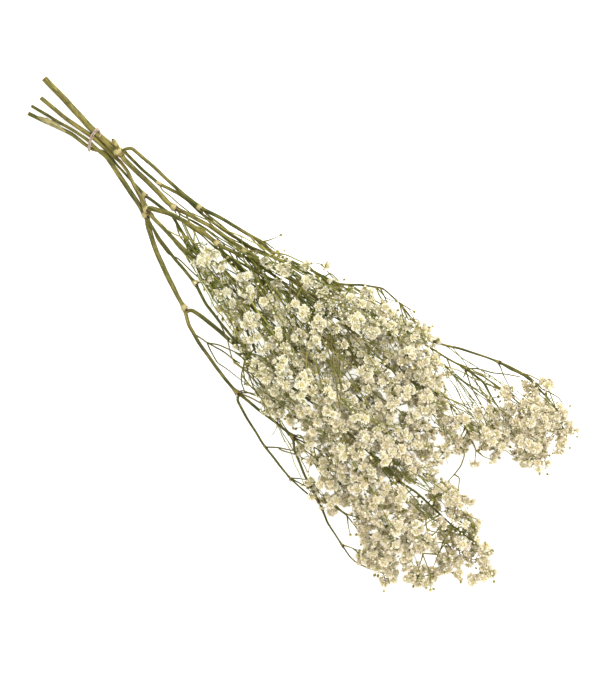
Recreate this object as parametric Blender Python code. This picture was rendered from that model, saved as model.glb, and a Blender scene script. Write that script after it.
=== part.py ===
"""A bunch of dried gypsophila: four cut stems tied with a rubber band, lying on its side.

Lengths in the lists are millimetres. X runs along the bunch from the tie towards the
blossom, Y across it and Z up from the surface that it lies on. At the end the whole bunch
is moved so that the origin is under its middle.
"""

import math

import bmesh
import bpy
from mathutils import Vector

MM = 0.001
TWIG_RADIUS = 0.6          # mm, the thin twigs that carry the blossom
BAND_RADIUS = 0.7          # mm, half the thickness of the rubber band
BAND_HALF_WIDTH = 2.2      # mm, half the flat width of its two turns together
BAND_X = 1.0               # mm, where the band sits along the stems
SHEATH_HALF_WIDTH = 2.4    # mm, half the width of the dried leaf at its widest
SHEATH_HALF_THICKNESS = 0.35
FLAT = math.pi / 2         # turns a ribbon so that its flat side lies against the stems
WELD = 0.00001             # m, how close two points are merged

STEM_ROUNDING = 2          # an eight-sided tube
SHOOT_ROUNDING = 1         # a six-sided tube
TWIG_ROUNDING = 0          # a four-sided tube

COLOURS = {
    # name: (red, green, blue), roughness
    "stem_green": ((0.26, 0.22, 0.08), 0.62),
    "blossom_cream": ((0.76, 0.68, 0.46), 0.88),
    "band_tan": ((0.50, 0.38, 0.25), 0.55),
    "dried_leaf": ((0.42, 0.35, 0.20), 0.80),
}


# ---------------------------------------------------------------- scene and shared helpers

for old in list(bpy.data.objects):
    bpy.data.objects.remove(old, do_unlink=True)

parts = bpy.data.collections.new("gypsophila_bunch")
bpy.context.scene.collection.children.link(parts)
knots = bpy.data.collections.new("knots_to_join")
bpy.context.scene.collection.children.link(knots)

bunch = bpy.data.objects.new("bunch", None)
parts.objects.link(bunch)


def material(name):
    """The Principled material of this name, made the first time it is asked for."""
    found = bpy.data.materials.get(name)
    if found:
        return found
    colour, roughness = COLOURS[name]
    made = bpy.data.materials.new(name)
    made.use_nodes = True
    shader = made.node_tree.nodes["Principled BSDF"]
    shader.inputs["Base Color"].default_value = (*colour, 1.0)
    shader.inputs["Roughness"].default_value = roughness
    shader.inputs["Metallic"].default_value = 0.0
    return made


def add_part(part, slot):
    """Puts one finished piece in the bunch with its material."""
    part.data.materials.append(material(slot))
    part.parent = bunch
    parts.objects.link(part)
    return part


def tube(name, route, rounding):
    """A round tube along route, a list of (x, y, z, radius), with filled ends."""
    curve = bpy.data.curves.new(name, "CURVE")
    curve.dimensions = "3D"
    curve.bevel_depth = MM
    curve.bevel_resolution = rounding
    curve.use_fill_caps = True
    spline = curve.splines.new("POLY")
    spline.points.add(len(route) - 1)
    for point, (x, y, z, radius) in zip(spline.points, route):
        point.co = (x * MM, y * MM, z * MM, 1.0)
        point.radius = radius
    return bpy.data.objects.new(name, curve)


def as_mesh(curved):
    """Turns a curve object into a mesh object of the same name, with its caps welded on."""
    name = curved.name
    bpy.context.scene.collection.objects.link(curved)
    bpy.context.view_layer.update()
    evaluated = curved.evaluated_get(bpy.context.evaluated_depsgraph_get())
    mesh = bpy.data.meshes.new_from_object(evaluated)
    place = curved.matrix_world.copy()
    bpy.data.objects.remove(curved, do_unlink=True)
    shape = bmesh.new()
    shape.from_mesh(mesh)
    bmesh.ops.remove_doubles(shape, verts=shape.verts, dist=WELD)
    shape.to_mesh(mesh)
    shape.free()
    made = bpy.data.objects.new(name, mesh)
    made.matrix_world = place
    return made


# ---------------------------------------------------------------- the four cut stems
# Each is one grown stem, cut square or slanting at its heel. It runs through the tie and
# ends at its first swollen node, or, for the lowest one, at a small joint. (x, y, z, radius)

CUT_STEMS = {
    "cut_stem_thick": [
        (-61, 8, 2.6, 2.3),
        (-35, 6.8, 5.4, 2.3),
        (-5, 5.2, 9.0, 2.3),
        (6, 5.2, 10.2, 2.3),
        (16, 6.0, 11.8, 2.5),
        (21, 6.4, 12.6, 3.2),
        (25, 6.6, 13.2, 3.3),
        (27.5, 6.6, 13.6, 2.2),
    ],
    "cut_stem_pale": [
        (-52, -6, 1.9, 1.5),
        (-30, -4.2, 4.2, 1.5),
        (-11, -2.4, 6.6, 1.5),
        (-1, -0.9, 7.8, 1.5),
        (8, 0.3, 8.0, 1.5),
        (15, 1.2, 8.1, 1.4),
        (24, 1.8, 8.2, 1.3),
        (32, 1.6, 9.4, 1.2),
        (43, 0, 13, 1.2),
        (54, -5, 17.2, 1.2),
        (66, -8, 20.6, 1.3),
        (74, -10, 23.0, 2.2),
        (78, -10.3, 23.8, 3.0),
        (81, -10.3, 24.4, 2.2),
    ],
    "cut_stem_dark": [
        (-54, -17, 1.3, 1.1),
        (-31, -11, 4.0, 1.1),
        (-20, -8, 5.6, 1.1),
        (-11, -6.4, 7.0, 1.1),
        (0, -4.8, 8.8, 1.1),
        (8, -5.4, 9.8, 1.1),
        (20, -5.2, 10.8, 1.2),
        (37, -8.2, 13.2, 1.3),
        (54, -12, 16.0, 1.3),
        (70, -15.6, 18.8, 1.4),
        (76, -16.8, 19.9, 2.2),
        (80, -17.2, 20.5, 2.8),
        (82.5, -17.6, 20.8, 2.0),
    ],
    "cut_stem_low": [
        (-51, -23, 1.7, 1.4),
        (-38, -18, 2.8, 1.4),
        (-15, -10.4, 4.2, 1.4),
        (-1, -8.8, 5.2, 1.3),
        (8, -7.6, 5.8, 1.2),
        (15, -4.6, 6.2, 1.1),
        (22, -2.6, 5.6, 1.0),
        (32, -2.9, 6.6, 0.9),
        (49, -3.3, 9.8, 0.9),
        (64, -4, 13.2, 1.2),
        (68, -4, 14.2, 1.2),
    ],
}


def cut_stems():
    for name, route in CUT_STEMS.items():
        add_part(as_mesh(tube(name, route, STEM_ROUNDING)), "stem_green")


# ---------------------------------------------------------------- rubber band
# Two turns of a rubber band, wrapped tight around the four stems as one flat loop.

BAND_LOOP = [  # (y, z) of the loop's middle line, around the stems
    (-11.4, 4.8),
    (-9.6, 2.6),
    (-5.5, 2.8),
    (0, 4.8),
    (5.5, 5.6),
    (8.9, 7.2),
    (9.4, 9.8),
    (8.2, 12.6),
    (5.2, 13.6),
    (0.5, 12.8),
    (-4.5, 11.8),
    (-8.5, 9.8),
    (-11.0, 7.4),
]


def rubber_band():
    curve = bpy.data.curves.new("tie_band", "CURVE")
    curve.dimensions = "3D"
    curve.bevel_depth = BAND_RADIUS * MM
    curve.bevel_resolution = 1
    curve.extrude = BAND_HALF_WIDTH * MM
    curve.resolution_u = 3
    spline = curve.splines.new("BEZIER")
    spline.bezier_points.add(len(BAND_LOOP) - 1)
    for point, (y, z) in zip(spline.bezier_points, BAND_LOOP):
        point.co = (BAND_X * MM, y * MM, z * MM)
        point.handle_left_type = "AUTO"
        point.handle_right_type = "AUTO"
        point.tilt = FLAT
    spline.use_cyclic_u = True
    add_part(as_mesh(bpy.data.objects.new("tie_band", curve)), "band_tan")


# ---------------------------------------------------------------- dried sheath
# A withered leaf that still clings along the lowest stem, near its heel.

SHEATH_ROUTE = [  # (x, y, z, width as a share of the widest)
    (-46, -20.3, 4.5, 0.35),
    (-40, -17.8, 5.1, 0.8),
    (-33, -15.2, 5.8, 1.0),
    (-26, -13.4, 7.0, 0.7),
    (-19, -12.8, 8.0, 0.3),
]


def dried_sheath():
    curve = bpy.data.curves.new("dried_sheath", "CURVE")
    curve.dimensions = "3D"
    curve.bevel_depth = SHEATH_HALF_THICKNESS * MM
    curve.bevel_resolution = 0
    curve.extrude = SHEATH_HALF_WIDTH * MM
    curve.use_fill_caps = True
    spline = curve.splines.new("POLY")
    spline.points.add(len(SHEATH_ROUTE) - 1)
    for point, (x, y, z, share) in zip(spline.points, SHEATH_ROUTE):
        point.co = (x * MM, y * MM, z * MM, 1.0)
        point.radius = share
        point.tilt = FLAT
    add_part(as_mesh(bpy.data.objects.new("dried_sheath", curve)), "dried_leaf")


# ---------------------------------------------------------------- side shoots
# The shoots that grow from the stems' nodes and carry the blossom. They swell where they
# fork. Each is one slim piece, so that it keeps its own shape when it touches something.

SHOOTS = {
    "shoot_top": [
        (27.2, 11.4, 15.6, 1.0),
        (31, 16.8, 17.5, 1.0),
        (54, 18, 22, 1.0),
        (78, 18.7, 26, 1.0),
        (95, 19.4, 29, 1.1),
        (108, 20.5, 31, 1.9),
        (115, 22.6, 32.5, 1.1),
        (133, 28.4, 36, 1.0),
        (148, 31, 39, 1.0),
        (166, 35, 43, 1.0),
        (180, 36.5, 46, 1.3),
        (196, 43, 49, 0.9),
        (217, 50, 53, 0.9),
        (238, 55, 57, 0.9),
        (255, 70, 60, 0.8),
        (268, 79, 61, 0.7),
        (287, 80, 62, 0.7),
    ],
    "shoot_upper_thin": [
        (30.2, 10.4, 12, 0.9),
        (49, 10, 17, 0.9),
        (69, 10.7, 21, 1.3),
        (84, 13.8, 23, 0.9),
        (95, 16, 24, 0.9),
        (112, 17.4, 26.6, 0.8),
        (130, 19.6, 29.6, 0.8),
        (147, 23.4, 34, 0.8),
        (162, 26.4, 37.5, 0.8),
        (180, 32.5, 41, 0.8),
        (199, 40.5, 44.5, 0.8),
        (215, 44, 47, 0.8),
        (232, 46.5, 50, 0.7),
        (258, 45, 54, 0.7),
    ],
    "shoot_middle": [
        (31.6, 5.4, 14.4, 1.5),
        (54, 5.5, 18, 1.5),
        (78, 5.2, 22.5, 1.4),
        (93, 6.3, 25, 2.2),
        (106, 10, 28, 1.2),
        (127, 15.3, 33, 1.1),
        (148, 18.7, 37.5, 1.1),
        (161.6, 20.5, 40.5, 1.9),
        (175, 23, 43.5, 1.1),
        (196, 29, 48, 1.1),
        (206, 30.5, 50, 1.8),
        (217, 33, 52, 1.0),
        (240, 33.5, 55, 1.0),
        (260, 35, 57, 0.9),
        (285, 34.5, 58, 0.9),
        (320, 35, 58, 0.8),
        (345, 40, 56, 0.7),
    ],
    "shoot_centre": [
        (83.6, -6.2, 26, 1.4),
        (93, -1, 27.5, 1.4),
        (106, 2.6, 30, 1.3),
        (127, 7.4, 34.5, 1.3),
        (140, 9, 37, 2.0),
        (147, 10.5, 38, 1.1),
        (160, 14.7, 38, 1.1),
        (180, 21, 39.5, 1.0),
        (201, 24, 43, 0.9),
        (227, 24, 47, 0.9),
        (240, 24, 49, 0.8),
        (258, 26, 52, 0.8),
        (276, 25, 54, 1.3),
        (285, 22, 54.5, 0.8),
        (300, 15.5, 55, 0.8),
        (318, 10, 54, 0.8),
        (330, 5, 52, 0.7),
    ],
    "shoot_centre_low": [
        (146, 5.6, 35, 1.4),
        (172, 7.7, 37.5, 1.5),
        (187, 10, 39, 2.1),
        (204, 17, 39.5, 1.4),
        (214, 20, 40, 1.3),
        (222, 13, 41, 1.0),
        (229, 7, 42, 1.0),
        (255, 4, 44, 0.9),
        (292, 1, 46, 0.9),
        (330, -3, 48, 0.8),
        (355, -6, 48, 0.7),
    ],
    "shoot_low_straight": [
        (86.6, -13.4, 24.4, 1.1),
        (101, -13.5, 26.5, 1.1),
        (125, -14.5, 30, 1.1),
        (141, -12, 32.5, 1.0),
        (159, -13, 34, 1.0),
        (170, -12, 35.5, 1.0),
        (184, -9, 37.5, 2.0),
        (190, -14, 38, 0.9),
        (206, -25, 40, 0.9),
        (229, -35, 43, 0.9),
    ],
    "shoot_thin": [
        (71, -3.6, 15, 0.9),
        (84, -2, 17.4, 0.9),
        (95, -0.7, 19.5, 0.8),
        (112, -4.7, 22.5, 0.8),
        (125, -8.5, 24.6, 0.8),
        (145, -5, 29, 0.8),
        (159, -3.5, 32, 0.8),
        (176, -3.5, 34.5, 0.7),
    ],
    "shoot_low": [
        (87, -19.6, 19.6, 0.9),
        (101, -21.8, 21.5, 0.9),
        (127, -25, 26, 0.9),
        (150, -26.5, 29.5, 1.7),
        (170, -34, 33, 0.9),
        (190, -38, 37, 0.9),
        (212, -40.5, 41, 0.9),
    ],
    "shoot_bottom": [
        (85, -22.8, 17.8, 1.6),
        (95, -27.6, 18.5, 1.5),
        (112, -35, 20, 1.5),
        (133, -42, 22.5, 1.5),
        (158, -49.5, 25, 2.4),
        (172, -57, 25.5, 1.1),
        (199, -64, 27, 1.1),
        (225, -68.8, 28.5, 1.1),
        (240.7, -70, 29, 2.1),
    ],
    "shoot_bottom_upper": [
        (163.5, -47.2, 27, 1.2),
        (175, -45, 29, 1.3),
        (196, -43, 33, 1.3),
        (225, -42.6, 38.5, 1.6),
        (258, -37, 44, 1.2),
        (300, -31, 47, 1.2),
    ],
    "shoot_edge": [
        (246.4, -69.2, 30, 1.0),
        (263, -67.8, 31.5, 1.0),
        (284, -64.6, 33.5, 1.0),
        (300, -63, 35, 1.9),
        (310, -71.6, 34.5, 1.0),
        (331, -80, 32, 1.0),
        (353, -87.7, 29, 1.9),
        (373, -95.6, 26, 0.9),
        (395, -100.6, 23.5, 1.4),
        (407, -103.8, 21, 0.7),
        (415, -104.4, 19.5, 0.7),
    ],
    "shoot_edge_low": [
        (244.6, -74.6, 28, 0.9),
        (259, -79, 27.5, 0.9),
        (284, -85.6, 26.5, 0.9),
        (290, -86, 26, 1.3),
        (324, -92, 24, 1.3),
        (344, -91.5, 23, 0.8),
    ],
    "shoot_far_upper": [
        (245, 50, 46, 1.0),
        (285, 60, 45, 0.9),
        (322, 71, 46, 0.9),
        (350, 86, 49, 0.9),
        (382, 101, 52, 1.6),
        (409, 109, 54.5, 0.9),
        (433, 108.5, 57, 0.7),
    ],
    "shoot_far_upper_low": [
        (292, 56, 38, 0.9),
        (325, 69, 40, 0.9),
        (350, 75, 43, 0.9),
        (366.5, 79, 45, 1.6),
        (386, 81, 47, 1.2),
        (400, 76.5, 48, 0.8),
        (415, 73.5, 49, 0.7),
    ],
    "shoot_far_middle": [
        (350, 43.6, 48, 0.8),
        (372, 48.8, 43, 0.8),
        (383, 47, 45, 0.8),
        (404, 42, 46, 0.7),
    ],
    "shoot_far_low": [
        (303, -31, 47.2, 1.2),
        (340, -29, 49, 1.2),
        (373, -29, 50, 1.6),
        (390, -29, 50.5, 1.7),
        (407, -26, 51, 1.1),
        (438, -25, 51, 0.9),
        (462, -24, 50, 0.8),
        (475, -21.5, 50, 0.7),
    ],
}


def side_shoots():
    for name, route in SHOOTS.items():
        add_part(as_mesh(tube(name, route, SHOOT_ROUNDING)), "stem_green")


# ---------------------------------------------------------------- blossom sprays
# Each spray is a thin forked twig with knots of blossom along it. A list is one run of the
# twig as (x, y, z, radius of the knot of blossom there), where 0 is bare twig. Every run
# after the first starts on the one before. The lowest knots carry the head on the surface.

SPRAYS = {
    "spray_heel": [
        [(128, -9.5, 31.5, 0), (143, -3, 39, 7), (141, -12.5, 40.5, 6)],
    ],
    "spray_near_low": [
        [(154, -22, 31.5, 0), (171, -20.5, 40, 7), (182, -27, 37, 6), (208, -18.5, 49.5, 8),
         (216, -34, 51, 8)],
    ],
    "spray_near_centre": [
        [(180, -2.5, 37, 0), (178, 3.5, 48, 7), (189, -3, 48, 7), (207, 4, 52, 8),
         (224, 3, 53, 5.5)],
        [(189, -3, 48, 0), (194, -2, 24, 9), (214, 3, 22, 9)],
    ],
    "spray_near_upper": [
        [(202, 37.5, 47.5, 0), (198, 36, 57, 5), (218, 39, 59, 5), (232, 42, 60, 5)],
        [(202, 37.5, 47.5, 0), (213, 36, 28, 9), (236, 38, 24, 10)],
    ],
    "spray_bright_knot": [
        [(238, 19.5, 52, 0), (236, 15, 66, 6), (250, 20, 70, 7), (262, 28, 68, 6)],
        [(236, 15, 66, 0), (247, 0, 64, 6.5), (257, 7, 69, 7), (269, 2, 66, 6)],
        [(238, 19.5, 52, 0), (250, 14, 22, 11), (268, 18, 18, 10)],
    ],
    "spray_inner_low": [
        [(190, -8, 39.8, 0), (206, -8, 47, 0), (231, -13, 60, 6), (240, -14, 63, 6.5),
         (249, -18, 66, 5.5), (259, -17, 66, 5.5)],
        [(231, -13, 60, 0), (231, -27, 57, 5.5)],
    ],
    "spray_inner_edge": [
        [(229.5, -45, 42, 0), (238, -41, 53, 7), (250, -44, 60, 7.5), (262, -45, 60, 6)],
        [(250, -44, 60, 0), (252, -29, 74, 6.5), (263, -34, 72, 7)],
        [(229.5, -45, 42, 0), (240, -40, 22, 11)],
    ],
    "spray_white_knot": [
        [(262, -32.5, 47.5, 0), (272, -26, 64, 0), (277, -32, 80, 7), (273, -21, 76, 6),
         (284, -23, 73, 6), (289, -12, 70, 5.5)],
        [(262, -32.5, 47.5, 0), (268, -18, 22, 11), (288, -24, 18, 11)],
    ],
    "spray_edge_knot": [
        [(263, -63.8, 34, 0), (258, -55, 41, 7), (268, -52, 46, 7), (283, -46, 52, 6.5),
         (290, -53, 48, 6)],
        [(268, -52, 46, 0), (278, -56, 42, 6.5)],
        [(258, -55, 41, 0), (268, -48, 12, 12)],
    ],
    "spray_inner_top": [
        [(249, 60, 55, 0), (254, 50, 62, 6.5), (268, 56, 61, 6.5), (263, 65, 60, 6),
         (279, 66, 62, 6)],
        [(249, 60, 55, 0), (260, 60, 28, 10), (280, 56, 12, 12)],
    ],
    "spray_inner_upper": [
        [(261, 44.6, 56, 0), (268, 44, 73, 6), (276, 43, 74, 6), (285, 48, 76, 7),
         (289, 56, 71, 6), (297, 58, 69, 5.5)],
        [(261, 44.6, 56, 0), (266, 40, 26, 10)],
    ],
    "spray_top_edge": [
        [(290.5, 78, 60.5, 0), (304, 69, 62, 7), (311, 76, 58, 7), (325, 77, 55, 6)],
        [(304, 69, 62, 0), (319, 65, 66, 7)],
        [(290.5, 78, 60.5, 0), (300, 76, 28, 9), (316, 64, 11, 11)],
    ],
    "spray_mid_upper": [
        [(324, 39, 61, 0), (322, 47, 65, 5.5), (322, 53, 74, 6.5), (338, 54, 73, 7.5),
         (334, 62, 68, 6)],
        [(322, 47, 65, 0), (333, 47, 61, 5.5), (343, 48, 64, 6.5), (354, 51, 58, 5.5),
         (353, 58, 56, 6), (344, 66, 60, 6)],
    ],
    "spray_mid_centre": [
        [(291, 23.5, 58, 0), (305, 26, 65, 6), (306, 16, 71, 7), (316, 11, 67, 6),
         (325, 21, 68, 6)],
        [(291, 23.5, 58, 0), (295, 24, 30, 11), (314, 20, 12, 12)],
    ],
    "spray_mid_bright": [
        [(322, 31, 58, 0), (334, 33, 64, 5.5), (342, 29, 68, 7), (338, 18, 75, 6.5),
         (348, 12, 75, 7)],
        [(322, 31, 58, 0), (336, 28, 27, 9.5)],
    ],
    "spray_mid_knot": [
        [(333, 4.6, 55, 0), (338, 2, 65, 7.5), (336, -8, 66, 6.5), (349, -8, 62, 7)],
        [(338, 2, 65, 0), (351, 3, 63, 6)],
        [(333, 4.6, 55, 0), (330, 2, 28, 11), (346, -4, 12, 12)],
    ],
    "spray_crown": [
        [(300, -26.6, 50, 0), (297, -28, 70, 6), (299, -17, 81, 6.5), (300, -5, 73, 5)],
        [(297, -28, 70, 0), (310, -29, 81, 7.5)],
    ],
    "spray_crown_far": [
        [(310, -4.6, 50, 0), (312, -10, 67, 6), (322, -8, 65, 6), (331, -17, 76, 7),
         (323, -31, 75, 6.5)],
        [(310, -4.6, 50, 0), (306, -10, 26, 11)],
    ],
    "spray_low_knot": [
        [(301, -58, 38.6, 0), (316, -56, 52, 6.5), (309, -49, 60, 6.5), (305, -38, 70, 6.5),
         (293, -42, 66, 6.5)],
        [(309, -49, 60, 0), (325, -42, 62, 6.5)],
        [(301, -58, 38.6, 0), (304, -46, 24, 10)],
    ],
    "spray_low_bright": [
        [(340, -32.4, 52, 0), (339, -46, 69, 6.5), (346, -53, 58, 7)],
        [(340, -32.4, 52, 0), (349, -34, 70, 7.5), (346, -21, 74, 7)],
        [(340, -32.4, 52, 0), (345, -38, 28, 11), (332, -28, 12, 12)],
    ],
    "spray_edge_low": [
        [(305.6, -61.6, 37.4, 0), (327, -63, 42, 0), (337, -65, 45, 5.5), (345, -63, 47, 6),
         (351, -71, 43, 6.5), (341, -79, 43, 5)],
        [(327, -63, 42, 0), (337, -62, 11, 11)],
    ],
    "spray_upper_large": [
        [(348.6, 39.6, 57, 0), (360, 38, 60, 7), (365, 30, 64, 7.5)],
        [(360, 38, 60, 0), (372, 42, 56, 6), (367, 50, 53, 6), (365, 58, 52, 5)],
        [(348.6, 39.6, 57, 0), (359, 33, 31, 10), (372, 46, 13, 13)],
    ],
    "spray_centre_large": [
        [(358, -3, 50, 0), (364, 2, 62, 6.5), (375, 3, 58, 6.5), (385, 5, 56, 6)],
        [(364, 2, 62, 0), (363, 15, 66, 6.5), (375, 21, 60, 6), (385, 16, 58, 6)],
        [(358, -3, 50, 0), (366, 12, 26, 11)],
    ],
    "spray_middle_right": [
        [(406.5, 43, 48, 0), (396, 46, 56, 6), (392, 37, 54, 6.5), (388, 29, 50, 6),
         (401, 28, 48, 6), (408, 31, 46, 5.5)],
        [(406.5, 43, 48, 0), (413, 48, 58, 7), (402, 58, 57, 6)],
        [(413, 48, 58, 0), (424, 51, 61, 8), (434, 51, 57, 7)],
        [(406.5, 43, 48, 0), (410, 40, 25, 11), (424, 50, 12, 12)],
    ],
    "spray_centre_far": [
        [(358.4, -9, 47, 0), (363, -13, 60, 6.5), (373, -14, 60, 7.5), (385, -12, 56, 7),
         (396, -14, 53, 6), (405, -1, 49, 5.5), (402, 16, 46, 4.5)],
        [(358.4, -9, 47, 0), (374, -10, 24, 10), (391, 2, 12, 12)],
    ],
    "spray_far_crown": [
        [(370, -33.4, 53, 0), (366, -38, 71, 7.5), (358, -46, 62, 6.5)],
        [(366, -38, 71, 0), (376, -44, 67, 6)],
        [(370, -33.4, 53, 0), (367, -25, 68, 6.5)],
        [(370, -33.4, 53, 0), (368, -38, 24, 11)],
    ],
    "spray_far_bright": [
        [(391, -33.6, 53, 0), (388, -41, 60, 6), (389, -55, 62, 7), (385, -64, 56, 7),
         (377, -68, 47, 6)],
        [(389, -55, 62, 0), (368, -56, 66, 7.5)],
        [(391, -33.6, 53, 0), (394, -48, 12, 12)],
    ],
    "spray_far_edge": [
        [(409, -30, 53, 0), (401, -38, 61, 7), (410, -46, 56, 7), (417, -60, 62, 7.5),
         (425, -71, 55, 7.5), (413, -74, 50, 7)],
        [(410, -46, 56, 0), (404, -63, 60, 6.5)],
        [(410, -46, 56, 0), (416, -52, 26, 10)],
    ],
    "spray_fork_edge": [
        [(358, -84, 31.4, 0), (364, -80, 35, 7), (381, -80, 37, 0), (389, -76, 40, 7),
         (399, -78, 41, 7), (403, -86, 37, 6)],
        [(364, -80, 35, 0), (376, -74, 12, 12)],
    ],
    "spray_bottom_edge": [
        [(409, -100.4, 24.6, 0), (413.6, -96.3, 28, 6), (422, -93, 31, 7), (417, -85, 40, 7),
         (431.5, -84, 41, 7)],
        [(422, -93, 31, 0), (438, -89, 28, 7), (445, -92, 22, 6.5)],
        [(422, -93, 31, 0), (425.5, -83, 10, 10)],
    ],
    "spray_right_low": [
        [(440, -29, 49, 0), (431, -50, 61, 6.5), (444, -47, 56, 7.5), (441, -59, 52, 7),
         (437, -67, 45, 6), (445, -71, 45, 7)],
        [(440, -29, 49, 0), (439, -43, 24, 11)],
    ],
    "spray_right": [
        [(424, -21, 53.6, 0), (422, -13, 57, 6.5), (433, -8, 60, 7.5), (445, -6, 60, 7),
         (444, -17, 57, 6)],
        [(424, -21, 53.6, 0), (428, -8, 26, 11)],
    ],
    "spray_right_small": [
        [(459, -20.4, 52.5, 0), (457, -13, 57, 5.5), (467, -12, 55, 6)],
    ],
    "spray_tip": [
        [(478.6, -22, 49, 0), (487, -20, 54, 5.5), (499, -30, 50, 6), (502, -38, 46, 6),
         (495, -45, 42, 5.5)],
        [(478.6, -22, 49, 0), (475, -30, 45, 6), (483, -35, 44, 6), (475, -42, 42, 6.5),
         (482, -50, 38, 6)],
    ],
    "spray_tip_low": [
        [(450, -28.4, 48.5, 0), (454, -39, 44, 0), (459, -50, 40, 0), (467, -52, 36, 6),
         (472, -58, 33, 6.5), (465, -67, 27, 6), (460, -79, 20, 7), (458, -74, 8, 8)],
    ],
    "spray_crest_near": [
        [(389, 84.4, 49.6, 0), (405, 87, 57, 6), (417, 85, 60, 7), (424, 94, 62, 6.5)],
        [(405, 87, 57, 0), (413, 76, 58, 6), (408, 68, 53, 5.5)],
    ],
    "spray_crest_top": [
        [(436.6, 108.2, 59, 0), (449, 107, 65, 7), (459, 103, 66, 7.5), (468, 105, 61, 5.5)],
        [(459, 103, 66, 0), (463, 92, 60, 6.5), (472, 88, 54, 6)],
        [(449, 107, 65, 0), (447, 99, 26, 11)],
    ],
    "spray_crest": [
        [(418.6, 71.5, 51, 0), (430, 76, 62, 6), (438, 81, 70, 7), (437, 95, 70, 7),
         (448, 92, 71, 7)],
        [(418.6, 71.5, 51, 0), (431, 65, 56, 6), (445, 67, 66, 7.5), (455, 75, 66, 7)],
        [(445, 67, 66, 0), (455, 59, 54, 7), (470, 63, 50, 7)],
        [(431, 65, 56, 0), (434, 72, 26, 11), (450, 76, 13, 13)],
    ],
}


def blossom_knot(name, point):
    """One lump of blossom, as a low ball round a point (x, y, z, radius)."""
    x, y, z, radius = point
    shape = bmesh.new()
    bmesh.ops.create_icosphere(shape, subdivisions=1, radius=radius * MM)
    mesh = bpy.data.meshes.new(name)
    shape.to_mesh(mesh)
    shape.free()
    ball = bpy.data.objects.new(name, mesh)
    ball.location = Vector((x, y, z)) * MM
    return ball


def spray(name, runs):
    """A forked twig with its knots of blossom, joined in one solid."""
    operands = bpy.data.collections.new(name + "_pieces")
    knots.children.link(operands)
    stalks = [
        as_mesh(tube(f"{name}_run_{i}", [(x, y, z, TWIG_RADIUS) for x, y, z, _ in run], TWIG_ROUNDING))
        for i, run in enumerate(runs)
    ]
    balls = [
        blossom_knot(f"{name}_knot_{i}_{j}", point)
        for i, run in enumerate(runs)
        for j, point in enumerate(run)
        if point[3] > 0
    ]
    body = stalks[0]
    body.name = name
    for piece in stalks[1:] + balls:
        operands.objects.link(piece)
        piece.parent = bunch
        piece.hide_render = True
        piece.display_type = "WIRE"
    join = body.modifiers.new("join", "BOOLEAN")
    join.operation = "UNION"
    join.solver = "EXACT"
    join.operand_type = "COLLECTION"
    join.collection = operands
    add_part(body, "blossom_cream")


def blossom_sprays():
    for name, runs in SPRAYS.items():
        spray(name, runs)


# ---------------------------------------------------------------- the whole bunch


def put_origin_under_middle():
    """Moves the bunch so that the origin is under the middle of its box, on the surface."""
    bpy.context.view_layer.update()
    graph = bpy.context.evaluated_depsgraph_get()
    corners = [
        part.matrix_world @ Vector(corner)
        for part in parts.objects
        if part.type == "MESH"
        for corner in part.evaluated_get(graph).bound_box
    ]
    low = Vector(min(c[axis] for c in corners) for axis in range(3))
    high = Vector(max(c[axis] for c in corners) for axis in range(3))
    middle = (low + high) / 2
    bunch.location = (-middle.x, -middle.y, -low.z)


cut_stems()
rubber_band()
dried_sheath()
side_shoots()
blossom_sprays()
put_origin_under_middle()
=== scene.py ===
"""A tied bunch of dried gypsophila, lying on its side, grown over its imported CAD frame.

Lengths in the lists are millimetres, X from the tie towards the blossom, Y across the
bunch and Z up from the surface that it lies on, before the move that `shift` makes.
"""

import math

import bpy
import numpy as np
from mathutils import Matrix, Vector


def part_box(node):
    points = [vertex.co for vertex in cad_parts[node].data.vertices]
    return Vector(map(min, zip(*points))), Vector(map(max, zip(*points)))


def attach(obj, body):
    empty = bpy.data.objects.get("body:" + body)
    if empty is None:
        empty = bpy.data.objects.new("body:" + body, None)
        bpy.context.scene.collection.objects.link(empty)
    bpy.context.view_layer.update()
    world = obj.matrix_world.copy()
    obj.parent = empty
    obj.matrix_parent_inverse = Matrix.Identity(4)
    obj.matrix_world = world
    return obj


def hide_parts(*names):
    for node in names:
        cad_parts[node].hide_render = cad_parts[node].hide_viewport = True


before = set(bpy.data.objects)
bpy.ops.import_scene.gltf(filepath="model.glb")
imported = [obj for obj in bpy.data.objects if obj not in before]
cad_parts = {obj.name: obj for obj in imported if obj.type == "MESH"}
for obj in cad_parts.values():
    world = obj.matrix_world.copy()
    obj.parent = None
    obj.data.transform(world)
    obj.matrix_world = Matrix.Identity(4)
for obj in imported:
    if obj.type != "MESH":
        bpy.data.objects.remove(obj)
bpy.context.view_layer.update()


# ---------------------------------------------------------------- the four cut stems
# Each is one grown stem that dried olive and straw coloured, with fine ridges along it. It
# was cut at its heel, where the brown pith shows, and swells at the joint where its side
# shoots leave, with two withered pointed bracts. The band holds all four.

MM = 0.001
BAND_MIDDLE = (1.0, -1.03, 7.945)  # mm, the middle of the band's box in the lists' places
low, high = (np.array(corner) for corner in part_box("tie_band"))
shift = (low + high) / 2 - np.array(BAND_MIDDLE) * MM

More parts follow.
